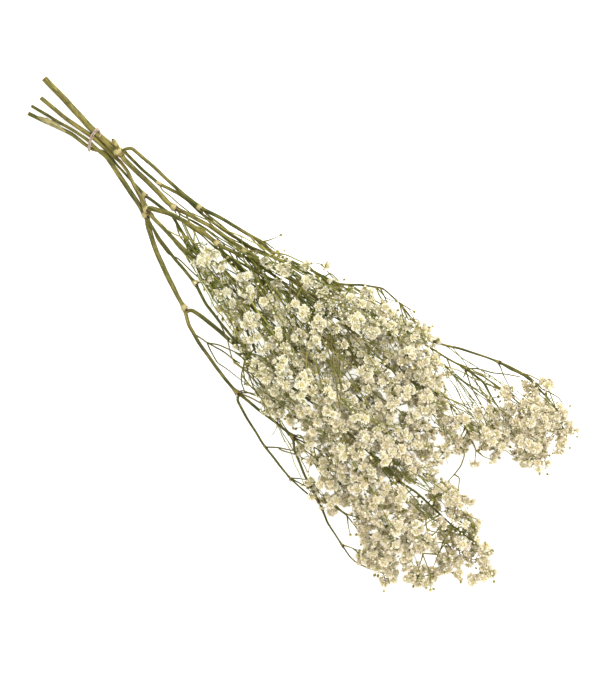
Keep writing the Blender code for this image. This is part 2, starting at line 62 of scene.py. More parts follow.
CUT_STEMS = {  # (x, y, z, radius)
    "cut_stem_thick": [
        (-63.7, 7.8, 2.8, 2.2), (-35, 6.6, 5.4, 2.3), (-5, 5.0, 9.0, 2.4), (6, 4.9, 10.2, 2.3),
        (16, 6.0, 11.8, 2.5), (21, 6.4, 12.6, 3.1), (25, 6.6, 13.2, 3.5), (28.5, 6.6, 13.8, 2.3),
    ],
    "cut_stem_pale": [
        (-54.2, -6.1, 1.9, 1.5), (-30, -4.2, 4.2, 1.5), (-11, -1.7, 6.6, 1.6), (-1, 0.4, 7.8, 1.8),
        (8, 1.0, 8.0, 1.9), (15, 1.2, 8.1, 1.8), (24, 1.5, 8.2, 1.5), (32, 1.8, 9.4, 1.3),
        (43, 0, 13, 1.2), (54, -4.8, 17.2, 1.3), (66, -8, 20.6, 1.4), (73, -10.4, 22.6, 2.0),
        (77, -12, 23.4, 2.8), (80.5, -12.8, 24.0, 1.9),
    ],
    "cut_stem_dark": [
        (-55.3, -16.5, 1.3, 1.1), (-31, -11, 4.0, 1.1), (-20, -8, 5.6, 1.1), (-11, -5.8, 7.0, 1.1),
        (0, -4.3, 8.8, 1.2), (8, -5.0, 9.8, 1.3), (20, -3.6, 10.8, 1.5), (38, -6.8, 13.2, 1.8),
        (56, -10.9, 16.0, 1.8), (70, -13.8, 18.8, 1.7), (76, -15.2, 19.9, 2.2),
        (79.5, -16, 20.5, 2.8), (82.5, -17, 20.8, 1.9),
    ],
    "cut_stem_low": [
        (-52.8, -23, 1.7, 1.4), (-38, -18, 2.8, 1.4), (-15, -10.4, 4.2, 1.4), (-1, -8.8, 5.2, 1.3),
        (8, -7.0, 5.8, 1.2), (15, -2.2, 6.2, 1.2), (22, -1.0, 5.6, 1.2), (32, -2.6, 6.6, 0.9),
        (49, -3.3, 9.8, 0.9), (62, -4, 12.8, 1.1), (66.5, -4.5, 14.0, 2.1), (68.5, -4.2, 14.6, 1.2),
    ],
}
BROKEN_STUB = [  # a side shoot that snapped off short at the thickest stem's joint
    (26, 7, 14, 1.9), (20.5, 9.6, 16, 1.8), (17, 10.3, 17, 1.8), (14.8, 10.7, 17.8, 1.6),
    (14, 10.8, 18, 1.0),
]
STEM_DRYNESS = {"cut_stem_thick": 0.5, "cut_stem_pale": 0.6, "cut_stem_dark": 0.3, "cut_stem_low": 0.3}
STEM_SIDES, STUB_SIDES = 14, 10
STEM_STEP = 1.9      # mm between rings along a stem or shoot
JOINT_REACH = 2.6    # mm, how far a swollen joint spreads along its stem
STOUT = 1.2          # a real stem's ridges stand this far out of its CAD tube
JOINT_LUMPS = 0.13   # how much deeper the ridges are at a swollen joint
STEM_RIDGE, STUB_RIDGE = 0.035, 0.1      # of the radius
STEM_WANDER = 0.18   # mm, how far a dried stem strays to the side
CUT_RINGS = [  # (share of the radius, mm along the stem)
    (1.0, 0.0), (1.03, -0.5), (0.86, -0.75), (0.55, -0.55), (0.2, -0.35),
]
BRACT_THICKNESS = 0.12   # mm
GROWING = np.array((0.97, 0.0, 0.24))    # the way the bunch grows
LEAST_HEIGHT = 0.3   # mm, so that no corner is below the floor
STALK, CUT_END = 0, 1    # the skins, in the order of a stem's slots


class Faces:
    """The four-sided faces of one piece as they are gathered, in mm, with what its skins read.

    grain is the place around (or across) and along a stalk or petal. growth is how dry the
    corner is and how near it is to a swollen joint, both from 0 to 1.
    """

    def __init__(self):
        self.points, self.corners, self.grain, self.growth, self.skins = [], [], [], [], []
        self.total = 0

    def add(self, points, corners, grain, growth, skins):
        """(n, 3) points, (m, 4) corners, (m, 4, 2) grain and growth, and one skin or m of them."""
        self.points.append(points)
        self.corners.append(corners + self.total)
        self.grain.append(grain)
        self.growth.append(growth)
        self.skins.append(np.broadcast_to(skins, len(corners)))
        self.total += len(points)

    def packed(self):
        return tuple(np.concatenate(part) for part in
                     (self.points, self.corners, self.grain, self.growth, self.skins))


def smooth(route, step=STEM_STEP, rounds=2):
    """Points about step apart along the route, its radius included. Each round eases the
    bends at its points a little more, and leaves the stretches between them straight."""
    route = np.array(route, float)
    found = []
    for start, end in zip(route, route[1:]):
        steps = max(1, round(np.linalg.norm(end[:3] - start[:3]) / step))
        found.append(start + (end - start) * (np.arange(steps) / steps)[:, None])
    path = np.vstack(found + [route[-1:]])
    for _ in range(rounds):
        path[1:-1] = path[:-2] / 4 + path[1:-1] / 2 + path[2:] / 4
    return path


def lengths(path):
    """How far each point of the path is along it."""
    return np.concatenate([[0], np.cumsum(np.linalg.norm(np.diff(path[:, :3], axis=0), axis=1))])


def wandering(path, amount, dice):
    """The path with the slow sideways wanders of a dried stalk, its ends kept."""
    along = lengths(path)
    share = along / along[-1]
    wander = sum(
        size * np.sin(along[:, None] / wave + dice.uniform(0, 6.28, 3))
        for size, wave in ((1.0, 9.0), (0.5, 3.7))
    )
    moved = path.copy()
    moved[:, :3] += amount * wander * np.sqrt(share * (1 - share))[:, None] * 2
    return moved


def jointed(route, stout):
    """The smoothed route with each swelling drawn in to a short joint, the nearness of every
    point to a joint, and the joints' places."""
    route = np.array(route, float)
    swollen = [i for i in range(1, len(route) - 1)
               if route[i, 3] > 1.15 * (route[i - 1, 3] + route[i + 1, 3]) / 2]
    slim = route.copy()
    for i in swollen:
        slim[i, 3] = min(route[i - 1, 3], route[i + 1, 3])
    path = smooth(slim)
    near = np.zeros(len(path))
    for i in swollen:
        bump = np.exp(-(np.linalg.norm(path[:, :3] - route[i, :3], axis=1) / JOINT_REACH) ** 2)
        path[:, 3] += 0.75 * (route[i, 3] - slim[i, 3]) * bump
        near = np.maximum(near, bump)
    path[:, 3] *= stout
    return path, near, [route[i] for i in swollen]


def unit(vector):
    return vector / np.linalg.norm(vector)


def frames(spine):
    """Along each point of the spine: ahead, and two directions across that don't twist."""
    ahead = np.gradient(spine, axis=0)
    ahead /= np.linalg.norm(ahead, axis=1)[:, None]
    across = np.cross(ahead, (0.31, 0.23, 0.92))
    for i in range(len(spine)):
        kept = across[max(i - 1, 0)]
        across[i] = unit(kept - ahead[i] * np.dot(kept, ahead[i]))
    return ahead, across, np.cross(ahead, across)


def rounded(path):
    """The path with a short rounded tip, for a stalk that ends at a joint."""
    ahead = unit(path[-1, :3] - path[-2, :3])
    radius = path[-1, 3]
    tip = [(*(path[-1, :3] + ahead * radius * out), radius * left)
           for out, left in ((0.4, 0.88), (0.7, 0.64), (0.88, 0.3))]
    return np.vstack([path, tip])


def spokes(across, beside, sides):
    """The angles round a ring of corners, and each ring's directions out to them."""
    turn = 2 * math.pi * np.arange(sides) / sides
    return turn, across[:, None] * np.cos(turn)[:, None] + beside[:, None] * np.sin(turn)[:, None]


def wall_corners(rings, sides):
    """The faces between a tube's rings: their ring, their side and their corners."""
    ring, side = (part.ravel() for part in np.indices((rings - 1, sides)))
    after = (side + 1) % sides
    corners = np.stack([side, after, after + sides, side + sides], -1) + ring[:, None] * sides
    return ring, side, corners


def lid_corners(sides):
    """The faces that close a ring."""
    return np.array([(j, j + 1, sides - 2 - j, sides - 1 - j) for j in range(sides // 2 - 1)])


def tube(faces, path, sides, skin=STALK, dryness=0.3, near=0.0, ridge=0.0, open_start=False):
    """Adds a stalk along path, whose last column is its radius, closed by flat ends."""
    rings, along = len(path), lengths(path)
    turn, out = spokes(*frames(path[:, :3])[1:], sides)
    ridges = ridge + JOINT_LUMPS * np.broadcast_to(near, rings)[:, None] * (ridge > 0)
    ribs = 1 + ridges * np.cos(5 * turn + 0.04 * along[:, None])
    points = path[:, None, :3] + out * (path[:, 3:4] * ribs)[..., None]
    ring, side, walls = wall_corners(rings, sides)
    wall_grain = np.stack([np.stack([side, side + 1, side + 1, side], -1) / sides,
                           along[np.stack([ring, ring, ring + 1, ring + 1], -1)]], -1)
    growth = np.stack(np.broadcast_arrays(dryness, near, np.zeros(rings))[:2], -1)
    growth = np.repeat(growth, sides, axis=0)
    lid = lid_corners(sides)
    ends = np.vstack([(rings - 1) * sides + lid] + ([] if open_start else [lid[:, ::-1]]))
    end_grain = np.stack([np.zeros(ends.shape), along[ends // sides]], -1)
    corners = np.vstack([walls, ends])
    faces.add(points.reshape(-1, 3), corners, np.vstack([wall_grain, end_grain]), growth[corners], skin)


def cut_end(faces, path, sides, dryness):
    """Adds the sawn heel of a stem: a bruised rim round a sunken pith."""
    ahead, across, beside = frames(path[:, :3])
    out = spokes(across[:1], beside[:1], sides)[1][0]
    points = np.vstack([path[0, :3] + out * path[0, 3] * share + ahead[0] * set_back
                        for share, set_back in CUT_RINGS])
    last = len(CUT_RINGS) - 1
    corners = np.vstack([wall_corners(last + 1, sides)[2], last * sides + lid_corners(sides)])[:, ::-1]
    middle = 1 - (corners // sides) / last
    grain = np.stack([(corners % sides) / sides, middle], -1)
    growth = np.stack([np.full(corners.shape, dryness), middle], -1)
    faces.add(points, corners, grain, growth, CUT_END)


def shell(faces, outer, inner, row_length, dryness):
    """Adds a withered leaf: two grids of points, one behind the other, joined round the rim.
    row_length is how far each row lies from the last in the leaf's grain."""
    rows, columns = outer.shape[:2]
    behind = rows * columns
    place = np.arange(behind).reshape(rows, columns)
    first = place[:-1, :-1].reshape(-1, 1)
    sheet = np.hstack([first, first + columns, first + columns + 1, first + 1])
    rim = [*place[0], *place[1:, -1], *place[-1, -2::-1], *place[-2:0:-1, 0]]
    walls = np.array([(a, b, b + behind, a + behind) for a, b in zip(rim, rim[1:] + rim[:1])])
    corners = np.vstack([sheet, sheet[:, ::-1] + behind, walls])
    grain = np.stack([corners % columns / (columns - 1), corners % behind // columns * row_length], -1)
    points = np.vstack([outer.reshape(-1, 3), inner.reshape(-1, 3)])
    faces.add(points, corners, grain, np.full(corners.shape + (2,), (dryness, 0.0)), STALK)


def bract(faces, foot, ahead, side, length, width):
    """Adds one withered pointed bract: a narrow leaf that hugs its joint, then stands off."""
    along = np.linspace(0, 1, 5)[:, None]
    across = np.linspace(-1, 1, 3)[None, :]
    middle = foot + ahead * along * length + side * (0.15 + 0.75 * along**1.6) * length * 0.5
    half = width * (1 - along) ** 0.7 * (0.75 + 0.5 * along)
    inner = middle[:, None] + np.cross(side, ahead) * (half * across)[..., None]
    inner = inner - side * (0.35 * half * across**2)[..., None]
    shell(faces, inner + side * BRACT_THICKNESS, inner, 0.25, 0.95)


def bracts_at(faces, joint, dice):
    """Adds a pair of bracts on opposite sides of a joint (x, y, z, radius), and the dark
    withered bud in the fork ahead of it."""
    size = min(joint[3], 2.5)
    bud = [(*(joint[:3] + GROWING * out * size + (0, 0, 0.5 * size)), width * size)
           for out, width in ((0.5, 0.2), (0.9, 0.55), (1.3, 0.5), (1.9, 0.1))]
    tube(faces, np.array(bud), 6, dryness=1.0)
    roll = dice.uniform(0, math.pi)
    across = unit(np.cross(GROWING, (0.0, 0.0, 1.0)))
    side = across * math.cos(roll) + np.cross(GROWING, across) * math.sin(roll)
    for way in (side, -side):
        length = joint[3] * dice.uniform(1.3, 2.2) + 1.0
        bract(faces, joint[:3] + way * joint[3] * 0.85, GROWING, way, length, joint[3] * 0.5)


def add_node(tree, kind, inputs=None, **settings):
    """A shader node of this kind. inputs maps a socket to its value or to what feeds it."""
    made = tree.nodes.new(kind)
    for name, value in settings.items():
        setattr(made, name, value)
    for socket, value in (inputs or {}).items():
        if isinstance(value, bpy.types.NodeSocket):
            tree.links.new(value, made.inputs[socket])
        else:
            made.inputs[socket].default_value = value
    return made


def ramp(tree, factor, *stops):
    """A colour ramp fed by factor, with stops of (position, colour or grey)."""
    made = add_node(tree, "ShaderNodeValToRGB", {"Fac": factor})
    marks = made.color_ramp.elements
    while len(marks) < len(stops):
        marks.new(0.5)
    for mark, (position, tone) in zip(marks, stops):
        mark.position = position
        mark.color = (*(tone if isinstance(tone, tuple) else (tone,) * 3), 1.0)
    return made.outputs["Color"]


def mixed(tree, factor, first, second, blend="MIX"):
    """Two colours mixed by factor."""
    made = add_node(tree, "ShaderNodeMix", data_type="RGBA", blend_type=blend, clamp_result=True)
    for socket, value in zip((made.inputs[0], made.inputs[6], made.inputs[7]), (factor, first, second)):
        if isinstance(value, bpy.types.NodeSocket):
            tree.links.new(value, socket)
        else:
            socket.default_value = value if isinstance(value, (int, float)) else (*value, 1.0)
    return made.outputs[2]


def maths(tree, operation, first, second=0.0, third=0.0):
    return add_node(tree, "ShaderNodeMath", {0: first, 1: second, 2: third}, operation=operation).outputs[0]


def noise(tree, place, scale, detail, roughness=0.5):
    return add_node(tree, "ShaderNodeTexNoise", {"Vector": place, "Scale": scale, "Detail": detail,
                                                 "Roughness": roughness}).outputs["Fac"]


def vector_of(tree, x, y, z=0.0):
    return add_node(tree, "ShaderNodeCombineXYZ", {"X": x, "Y": y, "Z": z}).outputs["Vector"]


def own_place(tree):
    return add_node(tree, "ShaderNodeTexCoord").outputs["Object"]


def uv_parts(tree, name):
    """The two numbers that a piece's map of this name holds."""
    parts = add_node(tree, "ShaderNodeSeparateXYZ",
                     {"Vector": add_node(tree, "ShaderNodeUVMap", uv_map=name).outputs["UV"]})
    return parts.outputs["X"], parts.outputs["Y"]


def new_skin(name):
    """A new material, its node tree and its shader."""
    made = bpy.data.materials.new(name)
    made.use_nodes = True
    return made, made.node_tree, made.node_tree.nodes["Principled BSDF"]


def wear(tree, shader, colour, roughness, height, strength, distance=0.0002):
    """Gives the shader its colour, its roughness and a relief distance metres deep."""
    relief = add_node(tree, "ShaderNodeBump", {"Strength": strength, "Distance": distance, "Height": height})
    tree.links.new(colour, shader.inputs["Base Color"])
    tree.links.new(roughness, shader.inputs["Roughness"])
    tree.links.new(relief.outputs["Normal"], shader.inputs["Normal"])


def new_group(name, inputs, outputs):
    """An empty node group with named sockets, and its input and output nodes."""
    group = bpy.data.node_groups.new(name, "ShaderNodeTree")
    for socket, kind in inputs.items():
        group.interface.new_socket(socket, in_out="INPUT", socket_type=kind)
    for socket, kind in outputs.items():
        group.interface.new_socket(socket, in_out="OUTPUT", socket_type=kind)
    return group, group.nodes.new("NodeGroupInput"), group.nodes.new("NodeGroupOutput")


def dried_skin_group():
    """Streaks along a stalk, darkened partly as its own streaking and partly as painted shade for its shaded
    sides, paler dry patches, pale swollen joints with a dark scar.
    """
    group, given, result = new_group(
        "dried skin",
        {"Green": "NodeSocketColor", "Straw": "NodeSocketColor", "Brown": "NodeSocketColor",
         "Pale": "NodeSocketColor"},
        {"Color": "NodeSocketColor", "Roughness": "NodeSocketFloat", "Height": "NodeSocketFloat"},
    )
    around, along = uv_parts(group, "grain")
    dryness, near = uv_parts(group, "growth")
    angle = maths(group, "MULTIPLY", around, 2 * math.pi)
    wrapped = vector_of(group, maths(group, "MULTIPLY", maths(group, "COSINE", angle), 1.3),
                        maths(group, "MULTIPLY", maths(group, "SINE", angle), 1.3),
                        maths(group, "MULTIPLY", along, 0.09))
    streaks = noise(group, wrapped, 1.4, 4.0, 0.65)
    place = own_place(group)
    patches = maths(group, "SUBTRACT", noise(group, place, 55.0, 3.0, 0.6), 0.5)
    specks = noise(group, place, 700.0, 2.0, 0.6)
    patched = maths(group, "ADD", dryness, maths(group, "MULTIPLY", patches, 1.7))
    straw = mixed(group, ramp(group, patched, (0.15, 0.0), (0.75, 1.0)),
                  given.outputs["Green"], given.outputs["Straw"])
    # Painted shade: a darkened copy of the stalk's colour, laid along the noise streaks. It is partly the
    # stalk's own streaking and partly stands in for the shade on its sides.
    shaded = mixed(group, 1.0, straw, (0.38, 0.37, 0.32), "MULTIPLY")
    streaks_and_painted_shade = mixed(group, ramp(group, streaks, (0.42, 0.0), (0.56, 1.0)), shaded, straw)
    brownness = maths(group, "ADD", dryness, maths(group, "MULTIPLY", specks, 0.25))
    browned = mixed(group, ramp(group, brownness, (0.86, 0.0), (1.0, 1.0)), streaks_and_painted_shade, given.outputs["Brown"])
    broken = maths(group, "MULTIPLY", near, maths(group, "MULTIPLY_ADD", specks, 1.6, 0.2))
    paled = mixed(group, ramp(group, broken, (0.3, 0.0), (0.75, 0.8)), browned, given.outputs["Pale"])
    scarred = mixed(group, ramp(group, near, (0.97, 0.0), (0.99, 0.5)), paled, given.outputs["Brown"])
    group.links.new(scarred, result.inputs["Color"])
    group.links.new(maths(group, "MULTIPLY_ADD", streaks, 0.3, 0.42), result.inputs["Roughness"])
    group.links.new(maths(group, "MULTIPLY_ADD", specks, 0.35, streaks), result.inputs["Height"])
    return group


dried_skin = dried_skin_group()


def stalk_material(name, green, straw, brown, pale, bump):
    """A dried plant skin in its own colours."""
    made, tree, shader = new_skin(name)
    skin = add_node(tree, "ShaderNodeGroup", node_tree=dried_skin)
    for socket, colour in (("Green", green), ("Straw", straw), ("Brown", brown), ("Pale", pale)):
        skin.inputs[socket].default_value = (*colour, 1.0)
    wear(tree, shader, skin.outputs["Color"], skin.outputs["Roughness"], skin.outputs["Height"], bump)
    shader.inputs["Specular IOR Level"].default_value = 0.35
    return made


def cut_end_material():
    """Brown pith, lighter and spongy in the middle, inside a dark bruised rim."""
    made, tree, shader = new_skin("cut pith")
    sponge = noise(tree, own_place(tree), 1800.0, 3.0)
    rings = ramp(tree, uv_parts(tree, "grain")[1], (0.0, (0.20, 0.15, 0.06)), (0.3, (0.09, 0.05, 0.02)),
                 (0.5, (0.34, 0.23, 0.11)), (1.0, (0.24, 0.15, 0.07)))
    wear(tree, shader, mixed(tree, sponge, rings, (0.42, 0.31, 0.18)),
         maths(tree, "MULTIPLY_ADD", sponge, 0.2, 0.7), sponge, 0.6, 0.0003)
    return made


stem_skin = stalk_material("stem skin", (0.09, 0.1, 0.008), (0.32, 0.27, 0.07), (0.05, 0.024, 0.008),
                           (0.60, 0.51, 0.24), 0.6)
cut_pith = cut_end_material()


def grown(node, name, faces, skins):
    """Makes the piece of these faces, which stands for the CAD node."""
    points, corners, grain, growth, worn = faces.packed()
    mesh = bpy.data.meshes.new(name)
    mesh.vertices.add(len(points))
    placed = points * MM + shift
    placed[:, 2] = np.maximum(placed[:, 2], LEAST_HEIGHT * MM)
    mesh.vertices.foreach_set("co", placed.ravel())
    mesh.loops.add(corners.size)
    mesh.loops.foreach_set("vertex_index", corners.ravel())
    mesh.polygons.add(len(corners))
    mesh.polygons.foreach_set("loop_start", np.arange(0, corners.size, 4))
    mesh.update(calc_edges=True)
    for title, values in (("grain", grain), ("growth", growth)):
        mesh.uv_layers.new(name=title).uv.foreach_set("vector", values.ravel())
    for skin in skins:
        mesh.materials.append(skin)
    mesh.polygons.foreach_set("material_index", worn.astype(np.int32))
    mesh.shade_smooth()
    piece = bpy.data.objects.new(name, mesh)
    bpy.context.scene.collection.objects.link(piece)
    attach(piece, "root")
    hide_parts(node)


stalks = []   # (node, path) of every stalk that later growth can leave from
dice = np.random.default_rng(7)
for node, route in CUT_STEMS.items():
    path, near, joints = jointed(route, STOUT)
    path = rounded(wandering(path, STEM_WANDER, dice))
    near = np.append(near, near[-1:].repeat(3))
    stalks.append((node, path))
    faces = Faces()
    dryness = STEM_DRYNESS[node]
    tube(faces, path, STEM_SIDES, dryness=dryness, near=near, ridge=STEM_RIDGE, open_start=True)
    cut_end(faces, path, STEM_SIDES, dryness)
    if node == "cut_stem_thick":
        stub = smooth(BROKEN_STUB)
        left = lengths(stub)[-1] - lengths(stub)
        tube(faces, stub, STUB_SIDES, dryness=0.4 + 0.6 * np.exp(-left / 1.5),
             near=0.75 * np.exp(-((left - 5) / 2.5) ** 2), ridge=STUB_RIDGE)
    for joint in joints:
        bracts_at(faces, joint, dice)
    grown(node, node + "_grown", faces, [stem_skin, cut_pith])


# ---------------------------------------------------------------- the blossom
# A double floret is a rosette of some forty narrow papery petals, crumpled and torn as they
# dried, standing out of a small green calyx. Closed ones are small round buds. Both are
# modelled a few times over, then planted at the ends of hair-thin stalks.

PETAL, GREEN = 1, 2      # the skins after STALK, in the order of a shoot's or spray's slots
CALYX = [(0.28, 0.0), (0.8, 0.9), (1.02, 2.3)]  # (radius, height), and so in the next three
HEART = [(0.9, 1.9), (2.2, 2.7), (2.1, 3.6), (0.9, 4.3)]
BUD_CALYX = [(0.25, 0.0), (0.75, 0.3), (1.05, 1.0), (1.0, 1.7), (0.8, 2.05)]
BUD_PETALS = [(0.86, 1.6), (0.95, 2.1), (0.72, 2.8), (0.3, 3.2)]
WHORLS = [
    # petals, length, half width, lean at the foot and at the tip in degrees
    (13, 4.6, 1.0, 68, 116),
    (12, 4.7, 0.95, 48, 92),
    (10, 4.7, 0.9, 28, 66),
    (8, 4.7, 0.85, 8, 40),
]
PETAL_FOOT = (0.45, 1.7)    # mm, how far a petal starts from the middle, and how high
PETAL_LENGTHS = 3           # corners along a petal
TWIST = 1.1                 # radians, the most that a petal turns over by its tip
TEAR = 0.12                 # of the petal's length
FLORET_KINDS, HALF_OPEN_KINDS, BUD_KINDS = 8, 3, 3


def petal(faces, length, half_width, foot_lean, tip_lean, turn, dice):
    """Adds one narrow crumpled petal, which leans out more towards its torn, twisted tip."""
    along = np.linspace(0, 1, PETAL_LENGTHS)[:, None]
    across = np.array([-1.0, 1.0])
    lean = np.radians(foot_lean + (tip_lean - foot_lean) * along**0.9)
    run = (lean[1:] + lean[:-1]) / 2
    stride = length / (PETAL_LENGTHS - 1)
    out = PETAL_FOOT[0] + stride * np.vstack([[0], np.cumsum(np.sin(run), axis=0)])
    up = PETAL_FOOT[1] + stride * np.vstack([[0], np.cumsum(np.cos(run), axis=0)])
    twist = dice.uniform(-1, 1) * TWIST * along
    side = half_width * (0.2 + 0.8 * along**0.7) * across * np.cos(twist)
    lift = half_width * along * across * np.sin(twist)
    torn = dice.uniform(-TEAR, TEAR) * length * across * along**3
    out = out + np.sin(lean) * torn - np.cos(lean) * lift
    up = up + np.cos(lean) * torn + np.sin(lean) * lift
    points = np.stack([out * math.cos(turn) - side * math.sin(turn),
                       out * math.sin(turn) + side * math.cos(turn), up], -1).reshape(-1, 3)
    first = 2 * np.arange(PETAL_LENGTHS - 1)[:, None]
    corners = np.hstack([first, first + 2, first + 3, first + 1])
    grain = np.stack([corners % 2, corners // 2 / (PETAL_LENGTHS - 1)], -1)
    growth = np.full(corners.shape + (2,), (0.0, dice.uniform()))
    faces.add(points, corners, grain, growth, PETAL)


def upright(profile):
    """A path straight up through the (radius, height) profile."""
    return np.array([(0.0, 0.0, height, radius) for radius, height in profile])


def floret_kind(openness, dice):
    """The faces of one floret, its stalk's end at the origin and its petals upwards."""
    faces = Faces()
    tube(faces, upright(CALYX), 6, skin=GREEN, dryness=0.4)
    tube(faces, upright(HEART) * (1, 1, 1, 0.35 + 0.65 * openness), 8, skin=PETAL, near=dice.uniform(),
         ridge=0.16)
    # The heart reads as 0.3 along a petal, so it takes much of the dark olive foot colour. This is partly
    # its own greener colour and partly painted shade in the rosette's middle.
    faces.grain[-1][..., 1] = 0.3
    for petals, length, half_width, foot_lean, tip_lean in WHORLS:
        start = dice.uniform(0, 2 * math.pi)
        for i in range(petals):
            turn = start + (i + dice.uniform(-0.25, 0.25)) * 2 * math.pi / petals
            petal(faces, length * dice.uniform(0.78, 1.12), half_width * dice.uniform(0.7, 1.15),
                  foot_lean * openness, (tip_lean + dice.uniform(-45, 30)) * openness, turn, dice)
    return faces.packed()


def bud_kind(dice):
    """A closed bud: a round calyx with the tight furled petals just showing."""
    faces = Faces()
    tube(faces, upright(BUD_CALYX), 6, skin=GREEN, dryness=0.55)
    tube(faces, upright(BUD_PETALS), 6, skin=PETAL, near=dice.uniform(), ridge=0.12)
    return faces.packed()


def pick(kinds, dice):
    return kinds[dice.integers(len(kinds))]


def plant(faces, kind, foot, ahead, size, tone, dice):
    """Adds a floret or bud with its foot at a point, facing ahead."""
    points, corners, grain, growth, skins = kind
    ahead = unit(ahead)
    across = unit(np.cross(ahead, dice.normal(size=3)))
    basis = np.stack([across, np.cross(ahead, across), ahead])
    growth = growth.copy()
    growth[skins == PETAL, :, 0] = tone
    faces.add(foot + size * points @ basis, corners, grain, growth, skins)


def petal_material():
    """Cream paper turning dark olive towards the foot, partly its own greener base and partly painted shade
    deep in the rosette, tan along the withered edge, finely wrinkled.
    """
    made, tree, shader = new_skin("dried petal")
    across, along = uv_parts(tree, "grain")
    tone, age = uv_parts(tree, "growth")
    place = own_place(tree)
    blush = noise(tree, place, 420.0, 3.0)
    veined = vector_of(tree, maths(tree, "MULTIPLY", across, 9.0), along, maths(tree, "MULTIPLY", age, 50.0))
    veins = noise(tree, veined, 1.3, 2.0)
    withered = maths(tree, "ADD", maths(tree, "MULTIPLY_ADD", age, 0.45, tone),
                     maths(tree, "MULTIPLY_ADD", blush, 1.0, -0.72))
    paper = ramp(tree, withered, (0.0, (0.97, 0.98, 0.90)), (0.35, (0.98, 0.96, 0.80)),
                 (0.7, (0.98, 0.96, 0.89)), (1.0, (0.98, 0.93, 0.86)))
    veined_paper = mixed(tree, ramp(tree, veins, (0.35, 0.28), (0.6, 0.0)), paper, (0.88, 0.80, 0.43))
    edge = maths(tree, "MULTIPLY", along, maths(tree, "ADD", withered, 0.35))
    edged = mixed(tree, ramp(tree, edge, (0.9, 0.0), (1.3, 0.4)), veined_paper, (0.82, 0.72, 0.52))
    browned = mixed(tree, ramp(tree, age, (0.7, 0.0), (0.92, 0.62)), edged, (0.77, 0.61, 0.38))
    # Painted shade: towards each petal's foot the colour turns dark olive. This is partly the petal's own
    # greener base and partly the shade deep inside the rosette. A fine noise makes the line ragged.
    ragged_foot_line = maths(tree, "MULTIPLY_ADD", noise(tree, place, 1100.0, 2.0), 1.5, -0.75)
    foot_olive_and_shade = ramp(tree, maths(tree, "SUBTRACT", along, ragged_foot_line), (0.15, 0.95), (0.8, 0.0))
    wear(tree, shader, mixed(tree, foot_olive_and_shade, browned, (0.46, 0.40, 0.08)),
         maths(tree, "MULTIPLY_ADD", veins, 0.2, 0.7), maths(tree, "ADD", veins, blush), 0.5)
    shader.inputs["Specular IOR Level"].default_value = 0.25
    shader.inputs["Sheen Weight"].default_value = 0.15
    return made


dice = np.random.default_rng(11)
florets = [floret_kind(dice.uniform(0.78, 1.08), dice) for _ in range(FLORET_KINDS)]
half_open = [floret_kind(dice.uniform(0.3, 0.5), dice) for _ in range(HALF_OPEN_KINDS)]
buds = [bud_kind(dice) for _ in range(BUD_KINDS)]
petal_paper = petal_material()
twig_skin = stalk_material("twig skin", (0.15, 0.19, 0.02), (0.50, 0.47, 0.11), (0.05, 0.024, 0.008),
                           (0.36, 0.28, 0.08), 0.35)
calyx_skin = stalk_material("calyx skin", (0.24, 0.26, 0.05), (0.48, 0.42, 0.13), (0.22, 0.13, 0.04),
                            (0.50, 0.44, 0.2), 0.3)


def withering(place, dice):
    """Which paper a floret has: greenish cream near the tie, yellower in the middle of the
    bunch and a faintly pink cream at its far end."""
    return 0.8 * np.clip((place[0] - 170) / 220, 0, 1) + dice.uniform(-0.2, 0.3)


# ---------------------------------------------------------------- side shoots and stray twigs
# The shoots grow from the stems' joints and fork towards the blossom, each fork with its own
# swollen joint and small bracts. Hair-thin stray twigs leave them, some with a single floret
# or bud. All are the same olive skin as the stems, greener where they are thin.

